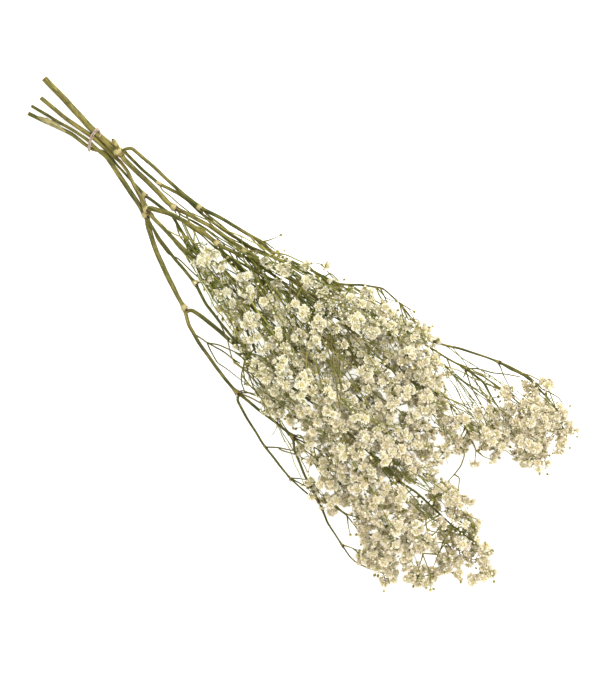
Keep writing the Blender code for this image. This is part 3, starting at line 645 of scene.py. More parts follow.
SHOOTS = {  # (x, y, z, radius)
    "shoot_top": [
        (27.2, 11.4, 15.6, 1.0), (31, 16.8, 17.5, 1.0), (54, 18, 22, 1.0), (78, 18.7, 26, 1.0),
        (95, 19.4, 29, 1.1), (108, 20.5, 31, 1.9), (115, 22.6, 32.5, 1.1), (133, 28.4, 36, 1.0),
        (148, 31.2, 39, 1.0), (166, 35.7, 43, 1.0), (180, 36, 46, 1.3), (196, 41.7, 49, 0.9),
        (217, 48.7, 53, 0.9), (238, 55, 57, 0.9), (255, 70, 60, 0.8), (268, 79, 61, 0.7),
        (287, 80, 62, 0.7),
    ],
    "shoot_upper_thin": [
        (30.2, 10.4, 12, 0.9), (49, 10, 17, 0.9), (69, 10.7, 21, 1.3), (76, 13.2, 22, 1.0),
        (87.6, 16.7, 24, 1.0), (97, 18.4, 25.5, 0.9), (112, 17.6, 27.6, 0.8), (130, 19.6, 29.6, 0.8),
        (147, 23.4, 34, 0.8),
        (162, 26.4, 37.5, 0.8), (180, 32.5, 41, 0.8), (199, 40.5, 44.5, 0.8), (215, 44, 47, 0.8),
        (232, 46.5, 50, 0.7), (258, 45, 54, 0.7),
    ],
    "shoot_middle": [
        (31.6, 5.4, 14.4, 1.5), (54, 5.5, 18, 1.5), (72, 5.4, 21.2, 1.5), (84, 4.6, 23.4, 1.6),
        (92.5, 5.6, 25, 2.4),
        (106, 10, 28, 1.2), (127, 15.3, 33, 1.1), (148, 18.7, 37.5, 1.1), (161.6, 20.5, 40.5, 1.9),
        (175, 23, 43.5, 1.1), (196, 29, 48, 1.1), (206, 30.5, 50, 1.8), (217, 33, 52, 1.0),
        (240, 33.5, 55, 1.0), (260, 35, 57, 0.9), (285, 34.5, 58, 0.9), (320, 35, 58, 0.8),
        (345, 40, 56, 0.7),
    ],
    "shoot_centre": [
        (77.4, -9.4, 24.6, 1.5), (83.6, -6.2, 26, 1.4), (93, -1, 27.5, 1.4), (106, 2.6, 30, 1.3),
        (127, 7.4, 34.5, 1.3),
        (140, 9, 37, 2.0), (147, 10.5, 38, 1.1), (160, 14.7, 38, 1.1), (180, 21, 39.5, 1.0),
        (201, 24, 43, 0.9), (227, 24, 47, 0.9), (240, 24, 49, 0.8), (258, 26, 52, 0.8),
        (276, 25, 54, 1.3), (285, 22, 54.5, 0.8), (300, 15.5, 55, 0.8), (318, 10, 54, 0.8),
        (330, 5, 52, 0.7),
    ],
    "shoot_centre_low": [
        (146, 5.6, 35, 1.4), (172, 7.7, 37.5, 1.5), (187, 10, 39, 2.1), (204, 17, 39.5, 1.4),
        (214, 20, 40, 1.3), (222, 13, 41, 1.0), (229, 7, 42, 1.0), (255, 4, 44, 0.9),
        (292, 1, 46, 0.9), (330, -3, 48, 0.8), (355, -6, 48, 0.7),
    ],
    "shoot_low_straight": [
        (82.4, -12.9, 24.3, 1.2), (86.6, -13.4, 24.4, 1.1), (101, -13.5, 26.5, 1.1), (125, -14.5, 30, 1.1),
        (141, -12, 32.5, 1.0), (159, -13, 34, 1.0), (170, -12, 35.5, 1.0), (184, -9, 37.5, 2.0),
        (190, -14, 38, 0.9), (206, -25, 40, 0.9), (229, -35, 43, 0.9),
    ],
    "shoot_thin": [
        (71, -3.6, 15, 0.9), (84, -2, 17.4, 0.9), (95, -0.7, 19.5, 0.8), (112, -4.7, 22.5, 0.8),
        (125, -8.5, 24.6, 0.8), (145, -5, 29, 0.8), (159, -3.5, 32, 0.8), (176, -3.5, 34.5, 0.7),
    ],
    "shoot_low": [
        (87, -18.6, 20.4, 0.9), (101, -22, 21.5, 0.9), (127, -26.2, 26, 0.9),
        (150, -28.4, 29.5, 1.7), (170, -35, 33, 0.9), (190, -38, 37, 0.9), (212, -40.5, 41, 0.9),
    ],
    "shoot_bottom": [
        (83, -17.6, 19.4, 1.5), (87.5, -21.3, 18.2, 1.6), (97, -26.6, 18.5, 1.5), (112, -34, 20, 1.5),
        (133, -42, 22.5, 1.5),
        (158, -50, 25, 2.4), (172, -58.4, 25.5, 1.2), (185, -62.2, 26.3, 1.2), (199, -64.8, 27, 1.2),
        (225, -69.6, 28.5, 1.2), (240, -70.8, 29, 2.3), (243, -70.4, 29.2, 1.1),
    ],
    "shoot_bottom_upper": [
        (163.5, -47.2, 27, 1.2), (175, -45, 29, 1.3), (196, -43, 33, 1.3), (225, -42.6, 38.5, 1.6),
        (258, -37, 44, 1.2), (300, -31, 47, 1.2),
    ],
    "shoot_edge": [
        (246.4, -69.8, 30, 1.1), (263, -68.6, 31.5, 1.1), (284, -65.6, 33.5, 1.1),
        (300.5, -64.6, 35, 2.7), (310, -72.6, 34.5, 1.1), (331, -81, 32, 1.1), (353, -88.7, 29, 1.9),
        (373, -96.8, 26, 1.0), (395, -101.8, 23.5, 1.4), (407, -104.8, 21, 0.7),
        (415, -104.4, 19.5, 0.7),
    ],
    "shoot_edge_low": [
        (244.6, -74.9, 28, 1.0), (259, -79.8, 27.5, 1.0), (284, -86.2, 26.5, 1.0),
        (290, -87.2, 26, 1.4), (307, -89.6, 25, 1.1), (324, -92.2, 24, 1.4), (344, -91, 23, 0.8),
    ],
    "shoot_far_upper": [
        (245, 50, 46, 1.0), (285, 60, 45, 0.9), (322, 71, 46, 0.9), (350, 87.5, 49, 1.15),
        (382, 102.5, 52, 1.8), (409, 110, 54.5, 1.0), (433, 109.5, 57, 0.7),
    ],
    "shoot_far_upper_low": [
        (292, 56, 38, 0.9), (325, 69, 40, 0.9), (350, 75, 43, 0.9), (366.5, 79, 45, 1.6),
        (386, 81, 47, 1.2), (400, 76.5, 48, 0.8), (415, 73.5, 49, 0.7),
    ],
    "shoot_far_middle": [
        (350, 43.6, 48, 0.8), (372, 48.8, 43, 0.8), (383, 47, 45, 0.8), (404, 42, 46, 0.7),
    ],
    "shoot_far_low": [
        (303, -31, 47.2, 1.2), (340, -29, 49, 1.2), (373, -29, 50, 1.6), (390, -29, 50.5, 1.7),
        (407, -26, 51, 1.1), (438, -25, 51, 0.9), (462, -24, 50, 0.8), (475, -21.5, 50, 0.7),
    ],
}
SHOOT_DRYNESS = {   # 0.3 where it isn't here
    "shoot_middle": 0.5, "shoot_centre": 0.42, "shoot_centre_low": 0.05, "shoot_low_straight": 0.38,
    "shoot_thin": 0.05, "shoot_low": 0.2, "shoot_bottom": 0.32, "shoot_bottom_upper": 0.2,
    "shoot_edge": 0.1, "shoot_edge_low": 0.15, "shoot_upper_thin": 0.2, "shoot_far_low": 0.35,
}
SHOOT_STOUT = [(140, 1.55), (300, 1.0), (420, 0.9)]   # (x, how stout against its CAD tube)
SHOOT_SIDES, TWIG_SIDES = 8, 6
SHOOT_WANDER, TWIG_WANDER = 0.22, 0.35   # mm
SHOOT_BACK, TWIG_BACK = 1.5, 0.5         # mm back along the parent stalk that they leave it
AGED_FROM = 175     # mm along X, where the shoots' joints have browned instead of paled

STRAY_TWIGS = [  # what the twig's end bears, then (x, y) or (x, y, z) from another stalk on
    ("", [(258, 26), (262, 22.5, 64), (268, 16, 74), (277, 9, 77), (288, -1, 79), (300, -10, 82),
          (312, -19, 84)]),
    ("", [(258, 26), (266, 20, 66), (276, 14, 76), (283, 7, 78), (290, 2, 79), (296, -2, 80)]),
    ("", [(276, 25), (279, 15, 64), (285, 9, 72), (293, 0, 77), (303, -8, 80), (314, -22, 84)]),
    ("bud", [(258, 26), (262, 20, 64), (270, 10, 74), (281, 2, 77), (292, -12, 80)]),
    ("", [(240, 24), (243, 14, 60), (256, -2, 72), (268, -14, 77), (280, -22, 80)]),
    ("", [(240, 24), (246, 17, 62), (262, 12, 73), (283, 4, 77), (304, -6, 80)]),
    ("bud", [(227, 24), (232, 10, 58), (246, -3, 68), (262, -9, 72), (276, -12, 76)]),
    ("", [(255, 4), (262, 1, 60), (278, -10, 74), (294, -20, 82), (312, -30, 84)]),
    ("", [(260, 35), (270, 33, 62), (289, 31, 70), (308, 27, 74), (326, 26, 74)]),
    ("bud", [(260, 35), (272, 36, 64), (292, 36, 70), (311, 34, 72)]),
    ("", [(93, 4), (102, 5.2), (113, 8.4), (124, 11.2), (134, 13)]),
    ("", [(108, 20.5), (118, 20), (132, 19.5), (146, 22), (160, 27)]),
    ("", [(108, 20.5), (116, 18), (128, 16.5), (142, 19), (158, 24), (172, 28)]),
    ("", [(140, 9), (150, 8), (163, 9.5), (178, 13), (192, 16), (206, 18)]),
    ("", [(140, 9), (152, 12.5), (166, 13), (180, 15), (196, 20), (212, 21)]),
    ("", [(161.6, 20.5), (171, 20), (184, 22.5), (198, 23), (214, 27)]),
    ("", [(161.6, 20.5), (172, 17.5), (186, 17), (200, 20)]),
    ("", [(180, 36.5), (192, 34), (206, 35), (222, 38), (236, 40)]),
    ("", [(140, 9), (137.7, 12.6)]),
    ("", [(161.6, 20), (169, 27), (180, 33)]),
    ("", [(206, 30), (209, 27), (216, 20.5), (222, 13), (229, 7)]),
    ("bud", [(187, 10), (196, 8)]),
    ("", [(115, 21), (127, 22), (147, 23), (150, 23.7), (162, 24)]),
    ("", [(69, 10.3), (75.5, 8.8), (95, 10.7), (112, 12.6)]),
    ("", [(93, 6), (101, 4.7), (112, 7.4), (122, 10), (133, 11.8), (145, 13), (154, 15.3)]),
    ("", [(100, -5), (109, -6.8), (115, -9.5), (141, -10.5)]),
    ("", [(90, -20.2), (101, -24), (117, -26.3), (125, -24), (148, -23), (166, -23.5), (178, -26)]),
    ("", [(170, -34), (180, -36.8), (189, -38.5), (203, -44), (212, -49.4), (221, -54)]),
    ("bud", [(150, -26.5), (153, -25), (156, -21.6), (162, -17.4)]),
    ("", [(184, -9), (196, -6), (201, -3.7)]),
    ("bud", [(184, -9), (201, -9.5)]),
    ("", [(180, -59), (189.5, -58), (193, -58), (201, -53), (212, -48), (221, -45)]),
    ("", [(193, -58), (206, -54), (225, -51)]),
    ("bud", [(193, -58), (198, -60), (211, -64), (240, -60)]),
    ("", [(224, -37), (226, -42), (227, -48), (231, -53), (240, -60), (240.5, -62)]),
    ("bud", [(230, -48), (236, -46)]),
    ("bud", [(231, -51), (238, -48)]),
    ("", [(240.7, -70), (249, -63), (256, -59)]),
    ("", [(240, -70.8), (243, -66), (249, -64), (253, -62)]),
    ("", [(240.7, -70), (252, -66), (264, -62), (275, -60)]),
    ("", [(226, -42), (229, -50), (233, -57), (238, -62), (246, -66)]),
    ("", [(228, -47), (236, -52), (246, -57), (256, -60)]),
    ("", [(249, -63), (264, -57.6), (272, -60.6), (289, -65), (298, -66.5)]),
    ("bud", [(300, -63), (314, -65.7), (327, -65), (348, -65)]),
    ("", [(300, -63), (314, -60.6), (320, -58.5), (331, -56), (348, -57)]),
    ("bud", [(300, -63), (303, -60), (311, -58.5)]),
    ("", [(290, -86), (298, -80.5), (311, -71.6)]),
    ("bud", [(298, -80.5), (301, -80), (314, -74), (325, -70), (335, -68)]),
    ("bud", [(324, -92), (328, -88), (335, -83)]),
    ("floret", [(324, -92), (344, -85.6), (353, -83)]),
    ("", [(353, -87.7), (362, -84), (381, -80.5), (400, -84.4)]),
    ("bud", [(395, -100.6), (402, -98), (408, -95.6)]),
    ("", [(224, 46), (227, 57.5), (237, 57.5)]),
    ("", [(247, 58), (258, 63)]),
    ("bud", [(267, 71), (275, 75), (283, 78.5)]),
    ("bud", [(288, 80), (300, 83)]),
    ("bud", [(288, 80), (307, 77.5)]),
    ("", [(288, 80), (303, 75)]),
    ("", [(300, 36), (305, 41), (313, 45)]),
    ("", [(260, 23), (280, 10), (292, 1), (297, -1)]),
    ("", [(382, 101), (390, 105.5), (400, 109), (410, 111.5), (418, 112), (425, 111.5)]),
    ("", [(382, 101), (393, 104.5), (406, 108.5), (414, 110), (430, 109)]),
    ("bud", [(382, 101), (392, 97.5), (400, 95), (410, 91)]),
    ("", [(366.5, 79), (373, 85), (385, 93), (394, 99.5), (404, 106)]),
    ("", [(366.5, 79), (382, 85), (390, 86), (402, 88), (420, 89)]),
    ("bud", [(386, 80.7), (392, 83), (400, 89)]),
    ("", [(366.5, 79), (370, 72)]),
    ("", [(366.5, 79), (380, 71.5), (390, 68), (406, 63.5)]),
    ("", [(350, 70), (360, 69), (380, 71.5), (398, 74), (405, 72)]),
    ("bud", [(398, 74), (402, 80)]),
    ("", [(343, 74), (343, 67), (349, 67)]),
    ("floret", [(350, 70), (353, 68.5), (356, 67)]),
    ("bud", [(427, 113), (440, 116), (446, 115), (449, 110)]),
    ("", [(358, 47), (363, 50.5), (372, 49.7), (380, 53), (394, 57)]),
    ("bud", [(375, 45.5), (383, 47)]),
    ("bud", [(376, 43.5), (387, 43)]),
    ("", [(404, 41.5), (412, 38.5), (421, 35), (426, 36)]),
    ("floret", [(412, 38.5), (421, 35), (426, 28.5)]),
    ("floret", [(421, 35), (430, 36), (434, 38)]),
    ("floret", [(404, 41.5), (406, 34), (409, 27)]),
    ("floret", [(400, 42), (402, 38), (404, 33)]),
    ("", [(450, -25), (464, -23), (475, -21)]),
    ("bud", [(390, -30), (394, -34)]),
    ("", [(452, -29), (458, -33), (464, -38)]),
    ("bud", [(453, -39), (456, -42), (464, -44)]),
    ("bud", [(453, -39), (459, -51), (463, -61)]),
    ("", [(459, -51), (449, -60), (461, -65)]),
    ("bud", [(449, -60), (456, -72)]),
    ("bud", [(434, -15), (437, -26), (430, -36)]),
    ("", [(430, -41), (437, -42), (447, -37)]),
    ("", [(203, 42), (211, 44.5), (219, 46.5), (232, 50.5), (246, 52)]),
    ("floret", [(203, 42), (206, 47), (211, 54), (218, 58.3)]),
    ("floret", [(400, 107), (409, 112), (425, 118)]),
    ("bud", [(462, -64), (468, -69)]),
    ("bud", [(464, -66), (470, -72), (474, -76)]),
    ("bud", [(430, -90), (438, -95), (443, -99)]),
    ("bud", [(407, -103.8), (415, -104)]),
    ("bud", [(166, 35), (168, 38), (174, 50.5)]),
    ("bud", [(168, 38), (181, 39.5)]),
    ("", [(411, 30), (416.5, 26), (420, 17), (421.5, 8), (422, -1)]),
    ("bud", [(421.5, 8), (427, 9), (430, 5.5), (436, -3)]),
    ("bud", [(381, -80.5), (386, -86), (393, -90)]),
]
TWIG_RADIUS = 0.58
HAIR_RADIUS = 0.24
STRAY_STOUT = 1.2
RISE = 0.08          # mm up for each mm out along a stray twig
RAISED_DRYNESS = 0.58   # of the twigs whose places have heights, high over the bunch
FLORET_SIZE, BUD_SIZE = 1.1, 1.2         # of those on stray twigs
COMPANION_STARTS = [  # (least x, most x, least y, most y), where later thin twigs can leave from
    (95, 500, -18, 37), (215, 365, -60, 150),
]


def upstream(point, reach, flat=False):
    """Where growth that starts near point leaves the nearest stalk, reach mm before the
    nearest place on it, as (node, place). flat looks at x and y alone."""
    axes = 2 if flat else 3
    best = None
    for node, path in stalks:
        apart = np.linalg.norm(path[:, :axes] - np.array(point[:axes], float), axis=1)
        i = int(apart.argmin())
        if best is None or apart[i] < best[0]:
            best = (apart[i], node, path, i)
    _, node, path, i = best
    along = lengths(path)
    i = int(np.searchsorted(along, max(along[i] - reach, 0)))
    return node, path[i, :3].copy()


shoot_faces = {}
dice = np.random.default_rng(23)
for node, route in SHOOTS.items():
    _, foot = upstream(route[0], SHOOT_BACK)
    path, near, joints = jointed([(*foot, route[0][3]), *route], 1.0)
    path[:, 3] *= np.interp(path[:, 0], *zip(*SHOOT_STOUT))
    path = wandering(path, SHOOT_WANDER, dice)
    stalks.append((node, path))
    faces = shoot_faces[node] = Faces()
    dryness = SHOOT_DRYNESS.get(node, 0.3) + 0.5 * np.exp(-lengths(path) / 1.4)
    aged = (path[:, 0] > AGED_FROM) * near
    dryness, near = dryness + 0.5 * aged, near - 0.6 * aged
    tube(faces, path, SHOOT_SIDES, dryness=dryness, near=near, ridge=0.03)
    for joint in joints:
        bracts_at(faces, joint, dice)

for bears, places in STRAY_TWIGS:
    node, foot = upstream(places[0], TWIG_BACK, flat=True)
    route, height = [(*foot, TWIG_RADIUS)], foot[2]
    for before, (x, y, *given) in zip(places, places[1:]):
        height = given[0] if given else height + RISE * math.dist(before[:2], (x, y))
        route.append((x, y, height, TWIG_RADIUS))
    path = wandering(smooth(route, 2.0, 1), TWIG_WANDER, dice)
    thin = HAIR_RADIUS if bears else 0.7 * TWIG_RADIUS
    path[:, 3] = np.linspace(TWIG_RADIUS, thin, len(path)) * STRAY_STOUT
    stalks.append((node, path))
    dryness = RAISED_DRYNESS if len(places[-1]) == 3 else 0.2 + 0.45 * dice.uniform()
    tube(shoot_faces[node], path, TWIG_SIDES, dryness=dryness)
    if bears:
        kinds, size = (florets, FLORET_SIZE) if bears == "floret" else (buds, BUD_SIZE)
        ahead = path[-1, :3] - path[-3, :3] + (0, 0, 0.6)
        plant(shoot_faces[node], pick(kinds, dice), path[-1, :3], ahead, size,
              withering(path[-1], dice), dice)

stalk_places = np.vstack([path[::2, :3] for _, path in stalks])
x, y = stalk_places[:, 0], stalk_places[:, 1]
within = [(x > left) & (x < right) & (y > near_side) & (y < far_side)
          for left, right, near_side, far_side in COMPANION_STARTS]
stalk_places = stalk_places[np.any(within, axis=0)]
for node, faces in shoot_faces.items():
    grown(node, node + "_grown", faces, [stem_skin, petal_paper, calyx_skin])


# ---------------------------------------------------------------- the blossom sprays
# Each spray is a forked twig with clusters of florets and buds along it. A cluster's stalks
# fork twice more from its twig, and each hair-thin end bears one floret or bud. More thin
# twigs run up among them from the stalks further back.

# Runs of the twig as (x, y, z, radius of the cluster there), 0 where it is bare. A run of one
# place is a lone cluster, whose stalk comes from SIDE_START of it.
SPRAYS = {
    "spray_heel": [
        [(128, -9.5, 31.5, 0), (143, -3, 39, 7), (141, -12.5, 40.5, 6)],
        [(141, -12.5, 40.5, 0), (153, -18, 38, 5.5)],
        [(143, -3, 39, 0), (155, -3, 40, 4)],
        [(152, -17, 38, 0), (158, -12.5, 30, 4), (170, -11, 32, 5)],
    ],
    "spray_near_low": [
        [(154, -22, 31.5, 0), (172, -18.5, 40, 5.5), (182, -26, 37, 5), (208, -18.5, 49.5, 8),
         (219, -29, 51, 6)],
        [(182, -27, 37, 0), (196, -24, 34, 5)],
        [(171, -20.5, 40, 0), (188, -17, 40, 6)],
        [(203.5, -31, 40, 4.5)], [(212, -39.5, 38, 4)],
        [(185, -30, 46, 0), (192, -27, 40, 3.4)],
        [(220, -38.5, 40, 4.8)],
    ],
    "spray_near_centre": [
        [(180, -2.5, 37, 0), (178, 3.5, 48, 7), (189, -3, 48, 7), (207, 4, 52, 8),
         (224, 3, 53, 5.5)],
        [(189, -3, 48, 0), (194, -2, 24, 9), (214, 3, 22, 9)],
        [(178, 3.5, 48, 0), (182, 12, 34, 4.5), (194, 12, 34, 4.5), (206, 11, 36, 4.5)],
        [(233, 3, 56, 4.5)], [(202.5, 18.5, 43, 3.8)],
    ],
    "spray_near_upper": [
        [(202, 37.5, 47.5, 0), (198, 36, 57, 5), (218, 39, 59, 5), (232, 42, 60, 5)],
        [(202, 37.5, 47.5, 0), (217, 33, 28, 6.5), (234, 40, 24, 10)],
        [(215, 34, 28, 0), (220, 22, 30, 7), (227, 26, 34, 7)],
        [(232, 42, 60, 0), (238, 52, 50, 6)],
        [(207, 47, 50, 4)], [(230, 50, 54, 4.5)],
        [(190, 31, 52, 0), (196, 32, 58, 5)],
        [(176, 27, 48, 0), (182, 27.5, 56, 4.5)],
        [(215, 40, 58, 0), (221, 41, 62, 4.8)],
        [(225.5, 15, 58, 4.8)],
    ],
    "spray_bright_knot": [
        [(238, 19.5, 52, 0), (235, 16, 66, 5.5), (250, 20, 70, 7), (262, 28, 68, 6)],
        [(236, 15, 66, 0), (247, 0, 64, 6.5), (257, 7, 69, 7), (269, 2, 66, 6)],
        [(238, 19.5, 52, 0), (250, 14, 22, 11), (268, 18, 18, 10)],
        [(238, 19.5, 52, 0), (249, 29, 50, 6.5)],
        [(269, 2, 66, 0), (280, 2, 50, 7.5), (290, -2, 48, 7)],
        [(257, 7, 69, 0), (262, -8, 56, 6.5), (272, -8, 50, 7)],
        [(241.5, 30, 60, 4.5)], [(245, 40, 60, 5)], [(253.5, 39.5, 58, 5)],
    ],
    "spray_inner_low": [
        [(190, -8, 39.8, 0), (206, -8, 47, 0), (231, -13, 60, 6), (240, -14, 63, 6.5),
         (249, -18, 66, 5.5), (259, -17, 66, 5.5)],
        [(231, -13, 60, 0), (231, -27, 57, 5.5)],
        [(206, -8, 47, 0), (236, -7, 40, 7)],
        [(231, -13, 60, 0), (248, -7, 46, 7)],
        [(224, -17, 50, 4.5)], [(240.5, -26, 50, 5)],
    ],
    "spray_inner_edge": [
        [(229.5, -45, 42, 0), (238, -41, 53, 7), (250, -44, 60, 7.5), (262, -45, 60, 6)],
        [(250, -44, 60, 0), (252, -29, 74, 6.5), (263, -34, 72, 7)],
        [(229.5, -45, 42, 0), (243, -39, 22, 9.5)],
    ],
    "spray_white_knot": [
        [(262, -32.5, 47.5, 0), (272, -26, 64, 0), (277, -32, 80, 7), (273, -21, 76, 6),
         (284, -23, 73, 6), (289, -12, 70, 5.5)],
        [(262, -32.5, 47.5, 0), (268, -18, 22, 11), (288, -24, 18, 11)],
    ],
    "spray_edge_knot": [
        [(263, -63.8, 34, 0), (258, -55, 41, 7), (268, -52, 46, 7), (283, -46, 52, 6.5),
         (290, -53, 48, 6)],
        [(268, -52, 46, 0), (278, -56, 42, 6.5)],
        [(258, -55, 41, 0), (268, -48, 12, 12)],
        [(268, -64, 34, 4)],
    ],
    "spray_inner_top": [
        [(249, 60, 55, 0), (254, 50, 62, 6.5), (268, 56, 61, 6.5), (263, 65, 60, 6),
         (279, 66, 62, 6)],
        [(249, 60, 55, 0), (264, 54, 28, 7), (280, 56, 12, 12)],
        [(250, 57.5, 56, 3.2)],
    ],
    "spray_inner_upper": [
        [(261, 44.6, 56, 0), (268, 44, 73, 6), (276, 43, 74, 6), (285, 48, 76, 7),
         (289, 56, 71, 6), (297, 58, 69, 5.5)],
        [(261, 44.6, 56, 0), (266, 40, 26, 10)],
        [(266, 40, 26, 0), (291, 46, 50, 7), (301, 43, 48, 7)],
        [(297, 58, 69, 0), (301, 54, 52, 5.5)],
    ],
    "spray_top_edge": [
        [(290.5, 78, 60.5, 0), (304, 68, 62, 6), (311, 74, 58, 5), (318, 77.5, 52, 5),
         (323, 74, 55, 4), (331, 77, 50, 3.5)],
        [(304, 68, 62, 0), (319, 65, 66, 7)],
        [(290.5, 78, 60.5, 0), (296, 67, 40, 5), (301, 68, 28, 6), (316, 64, 11, 11)],
        [(288.5, 69, 58, 3.8)],
    ],
    "spray_mid_upper": [
        [(324, 39, 61, 0), (322, 47, 65, 5.5), (322, 53, 74, 6.5), (338, 54, 73, 7.5),
         (334, 62, 68, 6)],
        [(322, 47, 65, 0), (333, 47, 61, 5.5), (343, 48, 64, 6.5), (354, 51, 58, 5.5),
         (352, 57, 56, 4.5), (344, 65, 60, 5), (340, 65, 52, 4.5)],
        [(324, 39, 61, 0), (311, 44, 56, 7), (318, 39, 52, 6.5)],
        [(312, 32, 62, 4.5)], [(321, 59, 58, 4.5)],
    ],
    "spray_mid_centre": [
        [(291, 23.5, 58, 0), (305, 26, 65, 6), (306, 16, 71, 7), (316, 11, 67, 6),
         (325, 21, 68, 6)],
        [(291, 23.5, 58, 0), (295, 24, 30, 11), (314, 20, 12, 12)],
        [(295, 24, 30, 0), (285, 15, 36, 8), (290, 7, 34, 7)],
        [(291, 23.5, 58, 0), (275, 28, 44, 7)],
        [(316, 11, 67, 0), (308, 4, 50, 6.5)],
        [(319, 27, 64, 4.5)], [(276, 22, 62, 5.5)],
        [(280, 12, 68, 0), (285, 13.5, 62, 4.2)],
        [(292, 26, 58, 5.5)], [(283, 33, 60, 5)],
    ],
    "spray_mid_bright": [
        [(322, 31, 58, 0), (334, 33, 64, 5.5), (342, 29, 68, 7), (338, 18, 75, 6.5),
         (346, 9, 75, 6), (350, 23.5, 52, 3.6)],
        [(322, 31, 58, 0), (336, 28, 27, 9.5)],
        [(331, 39.5, 62, 5)], [(326.5, 40.5, 54, 4)],
    ],
    "spray_mid_knot": [
        [(333, 4.6, 55, 0), (338, 2, 65, 7.5), (336, -8, 66, 6.5), (349, -8, 62, 7)],
        [(338, 2, 65, 0), (351, 3, 63, 6)],
        [(333, 4.6, 55, 0), (330, 2, 28, 11), (346, -4, 12, 12)],
    ],
    "spray_crown": [
        [(300, -26.6, 50, 0), (297, -28, 70, 6), (299, -17, 81, 6.5), (300, -5, 73, 5)],
        [(297, -28, 70, 0), (310, -29, 81, 7.5)],
        [(307, -19, 60, 4.3)],
    ],
    "spray_crown_far": [
        [(310, -4.6, 50, 0), (312, -10, 67, 6), (322, -8, 65, 6), (331, -17, 76, 7),
         (323, -31, 75, 6.5)],
        [(310, -4.6, 50, 0), (306, -10, 26, 11)],
    ],
    "spray_low_knot": [
        [(301, -58, 38.6, 0), (316, -56, 52, 6.5), (309, -49, 60, 6.5), (305, -38, 70, 6.5),
         (293, -42, 66, 6.5)],
        [(309, -49, 60, 0), (325, -42, 62, 6.5)],
        [(301, -58, 38.6, 0), (304, -46, 24, 10)],
        [(325, -42, 62, 0), (315, -40, 40, 7), (325, -50, 36, 7)],
        [(312, -68.5, 34, 4.2)],
    ],
    "spray_low_bright": [
        [(340, -32.4, 52, 0), (339, -46, 69, 6.5), (346, -53, 58, 7)],
        [(340, -32.4, 52, 0), (349, -34, 70, 7.5), (346, -21, 74, 7)],
        [(340, -32.4, 52, 0), (345, -38, 28, 11), (332, -28, 12, 12)],
        [(332, -28, 12, 0), (321, -20, 30, 8)],
        [(346, -21, 74, 0), (357, -21, 50, 7)],
        [(346, -53, 58, 0), (355, -57, 44, 6)],
    ],
    "spray_edge_low": [
        [(305.6, -61.6, 37.4, 0), (327, -63, 42, 0), (337, -65, 45, 5.5), (345, -63, 47, 6),
         (351, -71, 43, 6.5), (345, -77, 43, 4.5)],
        [(327, -63, 42, 0), (337, -60, 11, 9)],
        [(351, -71, 43, 0), (361, -64, 34, 7)],
        [(334, -82, 36, 0), (340, -83, 30, 4)],
        [(325.5, -67, 32, 4.5)], [(346.5, -88.5, 28, 4)],
    ],
    "spray_upper_large": [
        [(348.6, 39.6, 57, 0), (360, 38, 60, 7), (365, 30, 64, 7.5)],
        [(360, 38, 60, 0), (372, 42, 56, 6), (363, 47, 53, 4), (359, 53.5, 50, 3.8)],
        [(348.6, 39.6, 57, 0), (359, 33, 31, 10), (370, 42, 13, 10)],
        [(348.6, 39.6, 57, 0), (346, 40, 44, 6.5), (351, 46, 42, 5)],
        [(372, 42, 56, 0), (379.5, 34.5, 48, 3.5)],
        [(385, 35.5, 50, 3.2)],
    ],
    "spray_centre_large": [
        [(358, -3, 50, 0), (364, 2, 62, 6.5), (375, 3, 58, 6.5), (385, 5, 56, 6)],
        [(364, 2, 62, 0), (361, 17.5, 66, 5), (374, 20, 60, 5), (384, 14, 58, 5)],
        [(358, -3, 50, 0), (366, 12, 26, 11)],
        [(381, 20, 50, 4)], [(376.5, 13.5, 52, 4)],
    ],
    "spray_middle_right": [
        [(406.5, 43, 48, 0), (394, 45, 56, 5), (391, 37, 54, 5.5), (389, 30, 50, 4.5),
         (401, 28, 48, 6), (408, 31, 46, 5.5)],
        [(406.5, 43, 48, 0), (413, 48, 58, 7), (401, 60, 57, 4.5)],
        [(413, 48, 58, 0), (424, 51, 61, 8), (432, 54, 57, 5), (432.5, 45, 50, 4.2)],
        [(406.5, 43, 48, 0), (409, 46, 25, 8), (424, 51, 12, 12)],
        [(424, 51, 61, 0), (414, 60, 46, 7)],
        [(406.5, 43, 48, 0), (411, 32, 38, 5)],
        [(396, 31, 46, 4)],
    ],
    "spray_centre_far": [
        [(358.4, -9, 47, 0), (363, -13, 60, 6.5), (373, -14, 60, 7.5), (385, -12, 56, 7),
         (395, -13, 53, 5), (404, 0, 49, 5.5), (402, 16, 46, 4.5)],
        [(385, -12, 56, 0), (396, -19, 44, 4.5)],
        [(358.4, -9, 47, 0), (374, -12, 24, 9), (389, 4, 12, 9)],
        [(385, -12, 56, 0), (380, -21, 44, 6), (393, -22, 42, 7)],
        [(397, -9, 52, 0), (409.5, -7, 46, 4.5)],
        [(392, 4, 54, 0), (402, 5, 48, 4)],
    ],
    "spray_far_crown": [
        [(370, -33.4, 53, 0), (366, -38, 71, 7.5), (358, -46, 62, 6.5)],
        [(366, -38, 71, 0), (376, -44, 67, 6)],
        [(370, -33.4, 53, 0), (367, -25, 68, 6.5)],
        [(370, -33.4, 53, 0), (368, -38, 24, 11)],
        [(376, -44, 67, 0), (374, -53, 44, 6.5)],
        [(370, -33.4, 53, 0), (380, -34, 42, 5.5)],
    ],
    "spray_far_bright": [
        [(391, -33.6, 53, 0), (388, -41, 60, 6), (389, -55, 62, 7), (385, -64, 56, 7),
         (377.5, -66.5, 47, 5)],
        [(389, -55, 62, 0), (368, -56, 66, 7.5)],
        [(391, -33.6, 53, 0), (394, -48, 12, 12)],
        [(394.5, -57, 42, 4.5)],
    ],
    "spray_far_edge": [
        [(409, -30, 53, 0), (401, -38, 61, 7), (410, -46, 56, 7), (417, -60, 62, 7.5),
         (425, -71, 55, 7.5), (413, -74, 50, 7)],
